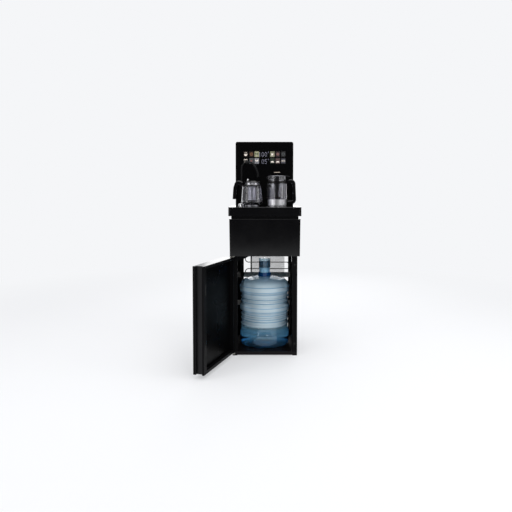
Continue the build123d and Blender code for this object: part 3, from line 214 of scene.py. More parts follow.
def maths(tree, operation, *values):
    """The result of a math node."""
    node = tree.nodes.new("ShaderNodeMath")
    node.operation = operation
    for socket, value in zip(node.inputs, values):
        feed(tree, socket, value)
    return node.outputs["Value"]


def mapped(tree, source, before, after, kind="LINEAR"):
    """The source with one range of values mapped to another, and clamped to it."""
    node = tree.nodes.new("ShaderNodeMapRange")
    node.interpolation_type = kind
    for name, value in zip(("From Min", "From Max", "To Min", "To Max"), (*before, *after)):
        node.inputs[name].default_value = value
    tree.links.new(source, node.inputs["Value"])
    return node.outputs["Result"]


def spread(tree, source, low, high):
    """The middle of a noise's range spread from low to high."""
    return mapped(tree, source, (0.3, 0.7), (low, high))


def mixed(tree, share, first, second, blend="MIX"):
    """A colour that goes from the first to the second as the share goes from 0 to 1."""
    node = tree.nodes.new("ShaderNodeMix")
    node.data_type = "RGBA"
    node.blend_type = blend
    for name, value in (("Factor", share), ("A", first), ("B", second)):
        feed(tree, node.inputs[name], value)
    return node.outputs["Result"]


def coordinates(tree):
    """The object's own X, Y and Z."""
    place = tree.nodes.new("ShaderNodeTexCoord")
    split = tree.nodes.new("ShaderNodeSeparateXYZ")
    tree.links.new(place.outputs["Object"], split.inputs["Vector"])
    return split.outputs


def bumped(tree, shader, source, depth):
    """Relief of a real depth on the shader's normal."""
    node = tree.nodes.new("ShaderNodeBump")
    node.inputs["Distance"].default_value = depth
    tree.links.new(source, node.inputs["Height"])
    tree.links.new(node.outputs["Normal"], shader.inputs["Normal"])
    return node


def surface(name, colour, rough, metal=0.0, grain=900.0, stretch=(1, 1, 1), relief=0.02 * MM,
            vary=0.15, smudge=0.08, shine=0.5):
    """An opaque finish: grain in its relief and colour, smudges in its gloss, softened edges."""
    material, tree, shader = new_material(name)
    fine = noise(tree, grain, stretch)
    slow = noise(tree, 9.0, detail=5.0)
    dark = [channel * (1 - vary) for channel in colour]
    light = [min(1.0, channel * (1 + vary)) for channel in colour]
    gloss = spread(tree, slow, max(0.02, rough - smudge), rough + smudge)
    tree.links.new(mixed(tree, spread(tree, fine, 0, 1), dark, light), shader.inputs["Base Color"])
    tree.links.new(gloss, shader.inputs["Roughness"])
    bump = bumped(tree, shader, fine, relief)
    soft = tree.nodes.new("ShaderNodeBevel")
    soft.samples = 4
    soft.inputs["Radius"].default_value = soft_edge
    tree.links.new(soft.outputs["Normal"], bump.inputs["Normal"])
    shader.inputs["Metallic"].default_value = metal
    shader.inputs["Specular IOR Level"].default_value = shine
    return material


def clear(name, colour, rough=0.0, ior=1.46, ripple=0.0, scale=14.0, levels=(), milk=0.0, edge_tint_and_crease_shade=None,
          crease_shade_heights=()):
    """Glass, clear plastic or water, with faint ripples and a trace of haze.

    The levels are (height, colour) pairs where the colour changes up the piece, and milk is the
    share of light that the plastic scatters. The edge tint and crease shade is one colour: it tints
    the wall where it is seen edge on, and is painted shade along the creases at the given heights.
    """
    material, tree, shader = new_material(name)
    haze = noise(tree, 30.0, detail=6.0)
    if levels:
        shade = by_height(tree, levels)
    else:
        dimmer = [channel * 0.97 for channel in colour]
        shade = mixed(tree, spread(tree, haze, 0, 1), dimmer, colour)
    # Tint where the wall is seen edge on, and painted shade along the creases.
    if edge_tint_and_crease_shade:
        grazing = tree.nodes.new("ShaderNodeLayerWeight")
        grazing.inputs["Blend"].default_value = rim_blend
        share = grazing.outputs["Facing"]
        if crease_shade_heights:
            share = maths(tree, "MAXIMUM", share, near_heights(tree, crease_shade_heights))
        shade = mixed(tree, share, shade, edge_tint_and_crease_shade, "MULTIPLY")
    tree.links.new(shade, shader.inputs["Base Color"])
    tree.links.new(spread(tree, haze, rough, rough + 0.02), shader.inputs["Roughness"])
    bumped(tree, shader, noise(tree, scale), ripple)
    shader.inputs["Transmission Weight"].default_value = 1.0 - milk
    shader.inputs["IOR"].default_value = ior
    return material


def near_heights(tree, heights):
    """1 at any of the heights, falling to 0 the painted crease shade's reach away from all of them.
    """
    up = coordinates(tree)["Z"]
    nearest = None
    for height in heights:
        distance = maths(tree, "ABSOLUTE", maths(tree, "SUBTRACT", up, height))
        nearest = maths(tree, "MINIMUM", nearest, distance) if nearest else distance
    return mapped(tree, nearest, (0, crease_shade_reach), (1, 0))


def by_height(tree, levels):
    """A colour that changes smoothly between the given heights."""
    first, last = levels[0][0], levels[-1][0]
    ramp = tree.nodes.new("ShaderNodeValToRGB")
    ramp.color_ramp.interpolation = "EASE"
    elements = ramp.color_ramp.elements
    while len(elements) < len(levels):
        elements.new(0.5)
    for element, (height, colour) in zip(elements, levels):
        element.position = (height - first) / (last - first)
        element.color = (*colour, 1)
    tree.links.new(mapped(tree, coordinates(tree)["Z"], (first, last), (0, 1)), ramp.inputs["Fac"])
    return ramp.outputs["Color"]


def tinted_print(name):
    """Printed colours, read from the mesh, with the light behind them."""
    material, tree, shader = new_material(name)
    colour = tree.nodes.new("ShaderNodeVertexColor")
    colour.layer_name = "tint"
    speckle = mixed(tree, spread(tree, noise(tree, 1500.0), 0, 1), (0.82, 0.82, 0.82), (1, 1, 1))
    ink = mixed(tree, 1.0, colour.outputs["Color"], speckle, "MULTIPLY")
    tree.links.new(ink, shader.inputs["Base Color"])
    tree.links.new(ink, shader.inputs["Emission Color"])
    shader.inputs["Emission Strength"].default_value = print_glow
    shader.inputs["Roughness"].default_value = 0.3
    return material


def perforated(name, colour, centre, holes):
    """Sheet steel with rows of round holes, so many round an upright axis and per metre up it."""
    material = surface(name, colour, 0.45, metal=1.0, grain=300, stretch=(1, 1, 30))
    tree = material.node_tree
    here = coordinates(tree)
    x = maths(tree, "SUBTRACT", here["X"], centre[0])
    y = maths(tree, "SUBTRACT", here["Y"], centre[1])
    turn = maths(tree, "MULTIPLY", maths(tree, "ARCTAN2", y, x), holes[0] / (2 * math.pi))
    row = maths(tree, "MULTIPLY", here["Z"], holes[1])
    shift = maths(tree, "MULTIPLY", maths(tree, "FLOOR", row), 0.5)
    squares = []
    for place in (maths(tree, "ADD", turn, shift), row):
        off = maths(tree, "SUBTRACT", maths(tree, "FRACT", place), 0.5)
        squares.append(maths(tree, "MULTIPLY", off, off))
    distance = maths(tree, "SQRT", maths(tree, "ADD", *squares))
    opening = tree.nodes.new("ShaderNodeBsdfTransparent").outputs["BSDF"]
    steel = tree.nodes["Principled BSDF"].outputs["BSDF"]
    mix_shaders(tree, maths(tree, "LESS_THAN", distance, hole_radius), steel, opening)
    return material


def mix_shaders(tree, share, first, second):
    """Gives the surface the second shader by its share, and the first by the rest."""
    mix = tree.nodes.new("ShaderNodeMixShader")
    for socket, value in zip(mix.inputs, (share, first, second)):
        tree.links.new(value, socket)
    tree.links.new(mix.outputs["Shader"], tree.nodes["Material Output"].inputs["Surface"])


# ------------------------------------------------------ finishes of CAD nodes
def add_finish(name, material, chosen):
    """Gives a node's chosen faces a second finish."""
    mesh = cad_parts[name].data
    mesh.materials.append(material)
    for face in mesh.polygons:
        if chosen(face):
            face.material_index = 1


def dress_nodes():
    """Gives every carried-over node its finish."""
    powder = surface("powder_coat", (0.004, 0.004, 0.0045), 0.42, grain=1400, relief=0.05 * MM,
                     shine=0.04)
    galvanised = surface("galvanised", (0.42, 0.41, 0.40), 0.45, metal=0.5, grain=120, vary=0.3)
    moulded = surface("moulded_black", (0.006, 0.005, 0.006), 0.5, grain=2200, relief=0.06 * MM,
                      shine=0.12)
    satin = surface("satin_black", (0.004, 0.004, 0.0045), 0.36, grain=1800, relief=0.03 * MM,
                    shine=0.04)
    gloss = surface("gloss_black", (0.0025, 0.0025, 0.003), 0.12, grain=700, relief=0.004 * MM,
                    smudge=0.04, shine=0.35)
    liner = surface("liner_black", (0.0012, 0.0012, 0.0014), 0.3, grain=1500, relief=0.02 * MM,
                    shine=0.03)
    lacquer = surface("spout_lacquer", (0.003, 0.003, 0.0035), 0.2, grain=900, relief=0.004 * MM,
                      shine=0.14)
    printed = surface("display_black", (0.001, 0.001, 0.0012), 0.07, grain=500, relief=0.001 * MM,
                      smudge=0.03)
    anodised = surface("anodised_dark", (0.007, 0.007, 0.008), 0.33, metal=0.2, grain=500,
                       stretch=(1, 1, 0.02), shine=0.25)
    brushed = surface("brushed_steel", (0.66, 0.66, 0.69), 0.32, metal=1.0, grain=900,
                      stretch=(0.03, 0.03, 1))
    streaked = surface("streaked_steel", (0.70, 0.70, 0.73), 0.42, metal=1.0, grain=260,
                       stretch=(1, 1, 0.03), vary=0.2)
    dark_steel = surface("dark_steel", (0.34, 0.34, 0.37), 0.35, metal=1.0, grain=900,
                         stretch=(0.03, 0.03, 1))
    # Lighter metal for the top of the jug lid's loop: a painted highlight along its top edge.
    painted_highlight_metal = surface("loop_painted_highlight", (0.52, 0.45, 0.38), 0.4, metal=0.8, grain=500,
                     stretch=(0.03, 1, 1))
    chrome = surface("chrome", (0.78, 0.78, 0.79), 0.07, metal=1.0, grain=60, relief=0.002 * MM,
                     vary=0.03, smudge=0.03)
    edge_gloss = surface("edge_gloss", (0.004, 0.004, 0.0045), 0.16, grain=900, relief=0.004 * MM,
                         smudge=0.05)
    zinc = surface("zinc_plate", (0.45, 0.44, 0.40), 0.35, metal=1.0, grain=400, vary=0.2)
    rubber = surface("rubber", (0.010, 0.010, 0.010), 0.75, grain=1600, relief=0.06 * MM, shine=0.3)
    enamel = surface("black_enamel", (0.008, 0.008, 0.008), 0.3, grain=800)
    copper = surface("copper", (0.70, 0.32, 0.18), 0.28, metal=1.0, grain=150, vary=0.25)
    foam = surface("foam_jacket", (0.05, 0.05, 0.05), 0.9, grain=350, relief=0.4 * MM)
    white = surface("white_moulding", (0.70, 0.70, 0.68), 0.4, grain=1500, relief=0.03 * MM,
                    vary=0.05)
    board = surface("circuit_board", (0.02, 0.15, 0.06), 0.35, grain=260, vary=0.5)
    ceramic = surface("black_ceramic", (0.006, 0.006, 0.006), 0.15, grain=2500, relief=0.01 * MM,
                      vary=0.6)
    pot_clear = clear("pot_clear", (0.94, 0.94, 0.98), ripple=0.05 * MM)
    jug_clear = clear("jug_clear", (0.93, 0.93, 0.97), ripple=0.03 * MM)
    hose = clear("clear_hose", (0.85, 0.87, 0.86), rough=0.25)
    cap_blue = clear("cap_blue", (0.40, 0.56, 0.66), rough=0.08, ripple=0.03 * MM, milk=0.1)
    collar_blue = clear("collar_blue", (0.01, 0.14, 0.46), rough=0.1, ripple=0.03 * MM, milk=0.45)
    infuser = perforated("perforated_steel", (0.55, 0.55, 0.60), middle_of("pot_infuser"),
                         infuser_holes)
    finishes = {
        powder: "left_side_panel right_side_panel hinge_gusset bay_ceiling front_bulkhead "
                "rear_panel",
        galvanised: "back_braces",
        moulded: "base_tray cable_duct condenser_clips probe_clips inlet_module switch_rocker "
                 "suction_probe",
        satin: "neck_frame door_frame display_housing",
        gloss: "fascia_cover counter_top door_front_panel jug_handle pot_handle pot_collar pot_lid "
               "jug_lid",
        dark_steel: "pot_base",
        liner: "door_inner_liner",
        lacquer: "spout_tube spout_nozzle jug_lid_loop",
        printed: "display_glass",
        anodised: "door_edge_grip",
        brushed: "jug_plate",
        streaked: "jug_base",
        chrome: "spout_collar pot_lid_knob",
        zinc: "hinge_brackets hinge_pins",
        rubber: "door_bumpers door_magnets compressor_mounts drain_hose",
        enamel: "condenser_tube compressor",
        copper: "discharge_line",
        foam: "cold_tank",
        white: "water_pump door_bushes",
        board: "circuit_boards",
        ceramic: "heating_plate",
        pot_clear: "pot_glass",
        jug_clear: "jug_glass jug_sleeve",
        infuser: "pot_infuser",
        hose: "water_hoses",
        cap_blue: "bottle_cap",
        collar_blue: "bottle_collar",
    }
    for material, names in finishes.items():
        for name in names.split():
            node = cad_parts[name]
            node.data.materials.clear()
            node.data.materials.append(material)
    skirt_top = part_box("pot_lid")[0].z + pot_lid_skirt
    add_finish("pot_lid", brushed, lambda face: face.center.z < skirt_top)
    centre = Vector(middle_of("jug_lid_loop"))
    inner, outer = jug_lid_rim
    add_finish("jug_lid", dark_steel,
               lambda face: inner < (face.center.to_2d() - centre).length < outer)
    # The loop's top faces take the lighter metal of the painted highlight.
    loop_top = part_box("jug_lid_loop")[1].z - loop_top_depth
    add_finish("jug_lid_loop", painted_highlight_metal, lambda face: face.center.z > loop_top)
    door_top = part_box("door_frame")[1].z - door_edge_depth
    for name in ("door_frame", "door_front_panel"):
        add_finish(name, edge_gloss, lambda face: face.normal.z > 0.9 and face.center.z > door_top)


# --------------------------------------------------------- bottle and water
bottle_low, bottle_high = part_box("bottle_shell")
bottle_middle = middle_of("bottle_shell")


def bottle_outline():
    """(radius, height) of the bottle's outside, from its foot ring up to the neck's foot.

    The heights in the lists are in mm over the foot.
    """
    radius = (bottle_high.x - bottle_low.x) / 2
    waist, mid, foot = radius - 10.6 * MM, radius - 1.6 * MM, radius - 5.1 * MM
    edge = 1.6 * MM
    line = [
        (30 * MM, 25), (foot - 62 * MM, 19), (foot - 42 * MM, 8), (foot - 32 * MM, 0.5),
        (foot - 14 * MM, 0.5), (foot - 2 * MM, 7), (foot, 16),
        (foot, 70), (foot - edge, 73), (waist + edge, 81), (waist, 85),
    ]
    for height in (112, 140, 162):
        line += bead(waist, height)
    line += [
        (waist, 174), (waist + edge, 178), (mid - edge, 185), (mid, 189),
        (mid, 205), (mid - edge, 209), (waist + edge, 216), (waist, 220),
    ]
    for height in (234, 254):
        line += bead(waist, height)
    line += [
        (waist, 272), (waist + edge, 276), (radius - edge, 286), (radius, 290), (radius, 311),
        (radius - 1.5 * MM, 314), (radius - 4 * MM, 315), (radius - 10 * MM, 328),
        (radius - 24 * MM, 340), (radius - 46 * MM, 348), (radius - 72 * MM, 353.5),
        (neck_radius + 10 * MM, 357), (neck_radius + 3 * MM, 357.9), (neck_radius, 359),
    ]
    return [(r, bottle_low.z + height * MM) for r, height in line]


def bead(radius, height):
    """A rounded rib round a waist, with a crease on both sides."""
    half = ((-6, 0.0), (-5, -0.8), (-3.5, 1.2), (-1.5, 3.2))
    steps = [*half, *((-up, out) for up, out in reversed(half))]
    return [(radius + out * MM, height + up) for up, out in steps]


def inset(outline, wall):
    """The outline moved in by a wall, along its own normals."""
    moved = []
    for index, point in enumerate(outline):
        before = Vector(outline[max(index - 1, 0)])
        after = Vector(outline[min(index + 1, len(outline) - 1)])
        along = (after - before).normalized()
        moved.append((point[0] - along.y * wall, point[1] + along.x * wall))
    return moved


def build_bottle():
    """The blown bottle: ribbed wall of even thickness, dome and open neck."""
    outside = cut_corners(bottle_outline())
    outside.append((neck_radius, bottle_high.z))
    inside = inset(outside, bottle_wall)
    inside[-1] = (neck_radius - bottle_wall, bottle_high.z)
    base = bottle_low.z + punt
    outline = [(0, base), *outside, *reversed(inside), (0, base + bottle_wall)]
    bm = bmesh.new()
    add_turned(bm, outline, bottle_middle, bottle_turns)
    mesh = finish_mesh(bm, "bottle_body", 50)

    body, dome, neck = (0.76, 0.93, 1.0), (0.70, 0.90, 1.0), (0.36, 0.70, 0.98)
    # Painted shade along the bottle's creases, besides the tint where its wall is seen edge on.
    misted = clear("bottle_misted", body, rough=0.03, ior=1.45, ripple=0.05 * MM, milk=0.6,
                   levels=[(130 * MM, body), (325 * MM, body), (352 * MM, dome), (372 * MM, dome),
                           (384 * MM, neck)],
                   edge_tint_and_crease_shade=(0.18, 0.46, 0.78),
                   crease_shade_heights=[bottle_low.z + height * MM for height in crease_shade_heights_mm])
    deep, low = (0.16, 0.44, 0.74), (0.44, 0.62, 0.72)
    wet = clear("bottle_wet", low, ior=1.45, ripple=0.05 * MM, milk=0.08,
                levels=[(bottle_low.z, deep), (58 * MM, deep), (82 * MM, low), (110 * MM, low)],
                edge_tint_and_crease_shade=(0.20, 0.50, 0.76))
    inner = clear("bottle_inside", (0.97, 0.99, 1.0), ior=1.45, ripple=0.03 * MM)
    add_piece("bottle_body", mesh, misted, "bottle", ["bottle_shell"])
    mesh.materials.append(wet)
    mesh.materials.append(inner)
    water_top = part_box("bottle_water")[1].z
    for face in mesh.polygons:
        # The faces come ring by ring along the outline, the outside's first.
        if face.index // bottle_turns > len(outside):
            face.material_index = 2
        elif face.center.z < water_top:
            face.material_index = 1


def build_water():
    """What is left in the bottle, up to a level surface that climbs a little at the wall."""
    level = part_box("bottle_water")[1].z
    inside = inset(cut_corners(bottle_outline()), water_inset)
    wet = [point for point in inside if point[1] < level]
    edge = wet[-1][0]
    outline = [(0, bottle_low.z + punt + water_inset), *wet]
    outline += [(edge, level - 0.5 * MM), (edge - 2 * MM, level - 1.5 * MM), (0, level - 1.5 * MM)]
    bm = bmesh.new()
    add_turned(bm, outline, bottle_middle, bottle_turns)
    mesh = finish_mesh(bm, "water_in_bottle", 50)

    blue, grey = (0.24, 0.48, 0.62), (0.17, 0.22, 0.23)
    water = clear("water", grey, ior=1.333, ripple=0.1 * MM, scale=25.0,
                  levels=[(bottle_low.z, blue), (55 * MM, blue), (78 * MM, grey), (level, grey)],
                  edge_tint_and_crease_shade=(0.04, 0.24, 0.36))
    add_piece("water_in_bottle", mesh, water, "bottle", ["bottle_water"])


# ------------------------------------------------------------ display prints
def bend_points(middle, half_width, half_height, first, last, pace=15):
    """Points along part of an ellipse, between two angles in degrees, a pace apart."""
    count = int(abs(last - first) / pace)
    angles = [math.radians(first + (last - first) * step / count) for step in range(count + 1)]
    x, z = middle
    return [(x + half_width * math.cos(a), z + half_height * math.sin(a)) for a in angles]


class Print:
    """Flat shapes printed on the display's glass, each layer a step further out."""

    def __init__(self):
        self.bm = bmesh.new()
        self.tint = self.bm.loops.layers.color.new("tint")
        self.face_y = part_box("display_glass")[0].y

    def shape(self, points, colour, layer=1):
        """One filled outline of (x, z) points, with a printed edge."""
        front = self.face_y - layer * print_step
        flat = [self.bm.verts.new((x, front, z)) for x, z in points]
        back = [self.bm.verts.new((x, self.face_y, z)) for x, z in points]
        faces = [self.bm.faces.new(flat)]
        for index in range(len(points)):
            after = (index + 1) % len(points)
            faces.append(self.bm.faces.new([flat[index], flat[after], back[after], back[index]]))
        for face in faces:
            for loop in face.loops:
                loop[self.tint] = (*colour, 1)

    def tile(self, middle, colour):
        """A rounded square behind a pictogram."""
        width, height = tile_size
        points = []
        for corner in range(4):
            side_x = 1 if corner in (0, 3) else -1
            side_z = 1 if corner < 2 else -1
            for step in range(4):
                angle = math.radians(90 * corner + 30 * step)
                x = middle[0] + side_x * (width / 2 - tile_radius) + tile_radius * math.cos(angle)
                z = middle[1] + side_z * (height / 2 - tile_radius) + tile_radius * math.sin(angle)
                points.append((x, z))
        self.shape(points, colour)

    def disc(self, middle, radius, colour, layer=2, squash=1.0, first=0, last=360):
        """A disc, or a part of one between two angles."""
        points = bend_points(middle, radius, squash * radius, first, last, 18)
        if last - first == 360:
            points.pop()
        self.shape(points, colour, layer)

    def stroke(self, points, width, colour, layer=2):
        """A line of even width along points, one flat piece per run."""
        for start, end in zip(points, points[1:]):
            a, b = Vector(start), Vector(end)
            along = (b - a).normalized() * width / 2
            side = Vector((-along.y, along.x))
            a, b = a - along, b + along
            self.shape([a + side, a - side, b - side, b + side], colour, layer)

    def ring(self, middle, radius, width, colour):
        """A ring drawn as short strokes."""
        self.stroke(bend_points(middle, radius, radius, 0, 360, 22.5), width, colour)


def unit(middle, x, z):
    """A point of a pictogram, from shares of its tile's half size."""
    return (middle[0] + x * tile_size[0] / 2, middle[1] + z * tile_size[1] / 2)


def draw_bowl(page, middle, colours):
    """A bowl with steam."""
    body, steam = colours
    page.disc(unit(middle, 0, -0.1), 8.5 * MM, body, first=180, last=360)
    page.stroke([unit(middle, -0.7, -0.08), unit(middle, 0.7, -0.08)], 1.4 * MM, steam, layer=3)
    for x in (-0.3, 0.1, 0.5):
        wisp = [unit(middle, x, 0.15), unit(middle, x - 0.15, 0.4), unit(middle, x + 0.05, 0.7)]
        page.stroke(wisp, 1.2 * MM, steam)


def draw_fruit(page, middle, colours):
    """A round fruit cut across."""
    rind, flesh = colours
    page.disc(middle, 9.0 * MM, rind)
    page.disc(middle, 6.8 * MM, flesh, layer=3)
    for turn in range(6):
        angle = math.radians(60 * turn)
        tip = (middle[0] + 6.2 * MM * math.cos(angle), middle[1] + 6.2 * MM * math.sin(angle))
        page.stroke([middle, tip], 0.8 * MM, rind, layer=4)


def draw_leaves(page, middle, colours):
    """Two leaves on a stalk."""
    leaf, stalk = colours
    page.stroke([unit(middle, -0.1, -0.75), unit(middle, 0.1, 0.6)], 1.2 * MM, stalk, layer=3)
    for side in (-1, 1):
        outline = ((0.0, -0.25), (0.55 * side, -0.1), (0.75 * side, 0.45), (0.15 * side, 0.35))
        page.shape([unit(middle, x, z) for x, z in outline], leaf, layer=2)


def draw_cup(page, middle, colours):
    """A cup seen from the side, with its saucer."""
    cup, drink = colours
    outline = ((-0.55, 0.35), (-0.4, -0.4), (0.25, -0.4), (0.4, 0.35))
    page.shape([unit(middle, x, z) for x, z in outline], cup, layer=2)
    page.ring(unit(middle, 0.52, 0.02), 2.6 * MM, 1.0 * MM, cup)
    page.stroke([unit(middle, -0.42, 0.22), unit(middle, 0.27, 0.22)], 1.4 * MM, drink, layer=3)
    page.stroke([unit(middle, -0.7, -0.6), unit(middle, 0.6, -0.6)], 1.4 * MM, cup)


def draw_flower(page, middle, colours):
    """Five petals round a middle."""
    petal, eye = colours
    for turn in range(5):
        angle = math.radians(72 * turn + 18)
        place = (middle[0] + 5 * MM * math.cos(angle), middle[1] + 5 * MM * math.sin(angle))
        page.disc(place, 3.6 * MM, petal)
    page.disc(middle, 2.8 * MM, eye, layer=3)


def draw_heap(page, middle, colours):
    """A heap with a few grains above it."""
    heap, grain = colours
    page.disc(unit(middle, 0, -0.55), 9.0 * MM, heap, first=0, last=180, squash=0.85)
    for x, z in ((-0.45, 0.35), (0.05, 0.6), (0.5, 0.3)):
        page.disc(unit(middle, x, z), 1.8 * MM, grain)


def draw_waves(page, middle, colours):
    """Three wavy lines."""
    for row, colour in zip((0.45, 0.0, -0.45), (colours[0], colours[1], colours[0])):
        sways = [(-0.75 + 0.25 * step, row + (0.14 if step % 2 else -0.14)) for step in range(7)]
        page.stroke([unit(middle, x, z) for x, z in sways], 1.8 * MM, colour)


def draw_digit(page, middle, digit):
    """A plain 0, 1 or 5 in thin even strokes."""
    half_width, half_height = digit_size[0] / 2, digit_size[1] / 2
    x, z = middle
    if digit == 0:
        line = bend_points(middle, half_width, half_height, 0, 360)
    elif digit == 1:
        shares = ((-0.5, 0.7), (0, 1), (0, -1))
        line = [(x + half_width * i, z + half_height * j) for i, j in shares]
    else:
        shares = ((0.9, 1), (-0.7, 1), (-0.8, 0.1))
        bowl = (x - half_width * 0.1, z - half_height * 0.35)
        line = [(x + half_width * i, z + half_height * j) for i, j in shares]
        line += bend_points(bowl, half_width * 1.05, half_height * 0.65, 110, -140)
    page.stroke(line, digit_stroke, digit_colour, layer=1)


def build_display_print():
    """Twelve pictogram tiles with two temperature read-outs between them."""
    page = Print()
    white, cream = (0.85, 0.82, 0.78), (0.50, 0.50, 0.40)
    brown, beige = (0.07, 0.03, 0.015), (0.42, 0.30, 0.21)
    green, grey = (0.14, 0.24, 0.09), (0.26, 0.27, 0.28)
    mauve, pink = (0.10, 0.05, 0.06), (0.42, 0.30, 0.30)
    lilac, dark = (0.44, 0.44, 0.46), (0.03, 0.03, 0.035)
    rose = (0.24, 0.19, 0.19)
    rows = [
        [
            (brown, draw_bowl, (white, white)), (brown, draw_fruit, (beige, (0.22, 0.12, 0.07))),
            (cream, draw_leaves, (green, white)), ((0.40, 0.40, 0.32), draw_cup, (white, grey)),
            (mauve, draw_flower, (pink, beige)), (dark, draw_fruit, (grey, (0.12, 0.13, 0.13))),
        ],
        [
            (dark, draw_waves, (white, grey)), (grey, draw_cup, (pink, beige)),
            (lilac, draw_leaves, (white, grey)), ((0.12, 0.14, 0.12), draw_heap, (white, green)),
            (rose, draw_heap, (white, pink)), ((0.14, 0.14, 0.17), draw_waves, (lilac, white)),
        ],
    ]
    for level, row in zip(tile_rows, rows):
        for column, (ground, draw, colours) in zip(tile_columns, row):
            page.tile((column, level), ground)
            draw(page, (column, level), colours)
    for level, digits in zip(digit_rows, ((1, 0, 0), (0, 5))):
        for place, digit in enumerate(digits):
            draw_digit(page, (digit_last + (place + 1 - len(digits)) * digit_pitch, level), digit)
        degree = (digit_last + 0.85 * digit_pitch, level + digit_size[1] / 2)
        page.ring(degree, degree_radius, degree_stroke, degree_colour)
    mesh = finish_mesh(page.bm, "display_print")
    add_piece("display_print", mesh, tinted_print("display_ink"), "cabinet")


# ------------------------------------------------------------- small fittings
def add_screw(bm, place, outward):
    """A pan head with a cross slot, its flat side on the place."""
    out = Vector(outward)
    side = out.orthogonal().normalized()
    other = out.cross(side)
    rings = []
    for share, height in ((1.0, 0.0), (1.0, 0.35), (0.82, 0.62), (0.45, 0.72)):
        ring = []
        for step in range(screw_turns):
            angle = 2 * math.pi * step / screw_turns
            inner = share < 0.5
            slot = 0.75 if inner and step % 4 == 0 else 1.0
            reach = screw_radius * share * slot
            point = Vector(place) + side * reach * math.cos(angle) + other * reach * math.sin(angle)
            ring.append(bm.verts.new(point + out * height * screw_radius * (slot if inner else 1)))
        rings.append(ring)
    eye = bm.verts.new(Vector(place) + out * screw_radius * 0.4)
    for step in range(screw_turns):
        after = (step + 1) % screw_turns
        for lower, upper in zip(rings, rings[1:]):
            bm.faces.new([lower[step], lower[after], upper[after], upper[step]])
        bm.faces.new([rings[-1][step], rings[-1][after], eye])
    bm.faces.new(list(reversed(rings[0])))


def build_grid():
    """The condenser's upright wires on both faces of its tube, finer and closer than its node's."""
    low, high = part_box("condenser_wires")
    radius = grid_wire / 2
    section = [math.pi * (2 * side + 1) / grid_sides for side in range(grid_sides)]
    bm = bmesh.new()
    for y, shift in ((low.y + radius, 0.0), (high.y - radius, grid_pitch / 2)):
        for step in range(int((high.x - low.x) / grid_pitch)):
            x = low.x + radius + shift + step * grid_pitch
            points = [(x + radius * math.cos(a), y + radius * math.sin(a)) for a in section]
            foot, top = [[bm.verts.new((*point, z)) for point in points] for z in (low.z, high.z)]
            for side in range(grid_sides):
                after = (side + 1) % grid_sides
                bm.faces.new([foot[side], foot[after], top[after], top[side]])
            bm.faces.new(list(reversed(foot)))
            bm.faces.new(top)
    wire = surface("wire_enamel", (0.016, 0.014, 0.016), 0.4, grain=700)
    mesh = finish_mesh(bm, "condenser_grid", 70)
    add_piece("condenser_grid", mesh, wire, "cabinet", ["condenser_wires"])


def build_screws():
    """Pan heads round the rear panel and at the ends of both braces."""
    bm = bmesh.new()
    low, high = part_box("rear_panel")
    side, foot, top = 9 * MM, 12 * MM, 10 * MM        # from the panel's edges
    for x in (low.x + side, high.x - side):
        for z in (low.z + foot, (low.z + high.z) / 2, high.z - top):
            add_screw(bm, (x, high.y, z), (0, 1, 0))
    low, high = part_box("back_braces")
    side, half_brace, flange = 12 * MM, 14 * MM, 1.2 * MM     # a flange lies over each end
    for x in (low.x + side, high.x - side):
        for z in (low.z + half_brace, high.z - half_brace):
            add_screw(bm, (x, high.y + flange, z), (0, 1, 0))
    steel = surface("screw_steel", (0.20, 0.20, 0.20), 0.35, metal=1.0, grain=1200)
    add_piece("back_screws", finish_mesh(bm, "back_screws"), steel, "cabinet")


# ------------------------------------------------------------------ the stage
square = ((-1, -1), (1, -1), (1, 1), (-1, 1))


def add_card(name, corners, material):
    """A flat piece of the stage."""
    bm = bmesh.new()
    bm.faces.new([bm.verts.new(corner) for corner in corners])
    mesh = bpy.data.meshes.new(name)
    bm.to_mesh(mesh)
    bm.free()
    mesh.materials.append(material)
    card = add_object(name, mesh)
    return card


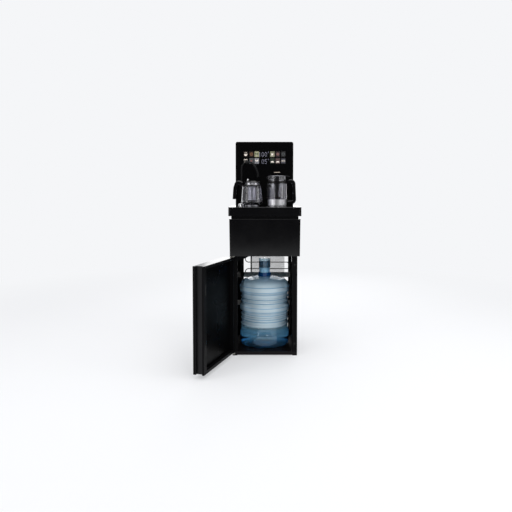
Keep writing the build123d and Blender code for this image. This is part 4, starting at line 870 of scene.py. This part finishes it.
def build_floor():
    """Floor that keeps the shadow near the object and fades into the even pale backdrop."""
    material, tree, shader = new_material("floor_paper")
    shader.inputs["Roughness"].default_value = 0.9
    shader.inputs["Specular IOR Level"].default_value = 0.1
    grain = spread(tree, noise(tree, 300.0), 0, 1)
    paper = mixed(tree, grain, (0.92, 0.925, 0.94), (0.94, 0.945, 0.96))
    tree.links.new(paper, shader.inputs["Base Color"])
    place = tree.nodes.new("ShaderNodeTexCoord")
    length = tree.nodes.new("ShaderNodeVectorMath")
    length.operation = "LENGTH"
    tree.links.new(place.outputs["Object"], length.inputs[0])
    fade = mapped(tree, length.outputs["Value"], floor_fade, (floor_glow, 1), "SMOOTHSTEP")
    glow = tree.nodes.new("ShaderNodeEmission")
    glow.inputs["Color"].default_value = (*backdrop, 1)
    mix_shaders(tree, fade, shader.outputs["BSDF"], glow.outputs["Emission"])
    corners = [(i * floor_half, j * floor_half, -floor_drop) for i, j in square]
    add_card("floor", corners, material)


def build_world():
    """Pale backdrop for what is seen, mirrored or seen through; a soft fill for the rest."""
    world = bpy.data.worlds.new("world")
    bpy.context.scene.world = world
    world.use_nodes = True
    tree = world.node_tree
    path = tree.nodes.new("ShaderNodeLightPath").outputs
    seen = maths(tree, "MAXIMUM", path["Is Camera Ray"], path["Is Glossy Ray"])
    seen = maths(tree, "MAXIMUM", seen, path["Is Transmission Ray"])
    background = tree.nodes["Background"]
    background.inputs["Color"].default_value = (*backdrop, 1)
    tree.links.new(mapped(tree, seen, (0, 1), (ambient, 1)), background.inputs["Strength"])


def add_lamp(name, place, aim, size, power):
    """A soft rectangular lamp aimed at a height over the origin."""
    data = bpy.data.lights.new(name, "AREA")
    data.shape = "RECTANGLE"
    data.size, data.size_y = size
    data.energy = power
    lamp = add_object(name, data)
    lamp.location = place
    lamp.rotation_euler = (Vector((0, 0, aim)) - Vector(place)).to_track_quat("-Z", "Y").to_euler()


def add_flag(name, middle, facing, size, grey, unseen):
    """Dark upright card that the object's gloss mirrors and that the named rays pass."""
    side = Vector((-facing[1], facing[0], 0)).normalized() * size[0] / 2
    up = Vector((0, 0, size[1] / 2))
    corners = [Vector(middle) + i * side + j * up for i, j in square]
    flag = add_card(name, corners, surface(name + "_cloth", (grey, grey, grey), 0.9, shine=0.0))
    for ray in unseen:
        setattr(flag, "visible_" + ray, False)


def build_camera():
    """The photograph's view of the front, slightly from above."""
    data = bpy.data.cameras.new("camera")
    data.sensor_width = sensor
    data.lens = lens
    data.shift_x, data.shift_y = camera_shift
    camera = add_object("camera", data)
    camera.location = camera_place
    camera.rotation_euler = (math.radians(90 - camera_pitch), 0, 0)
    bpy.context.scene.camera = camera


bpy.context.scene.view_settings.view_transform = "Standard"
build_camera()
build_world()
build_floor()
for flag in flags:
    add_flag(*flag)
for lamp in lamps:
    add_lamp(*lamp)
dress_nodes()
build_bottle()
build_water()
build_display_print()
build_grid()
build_screws()
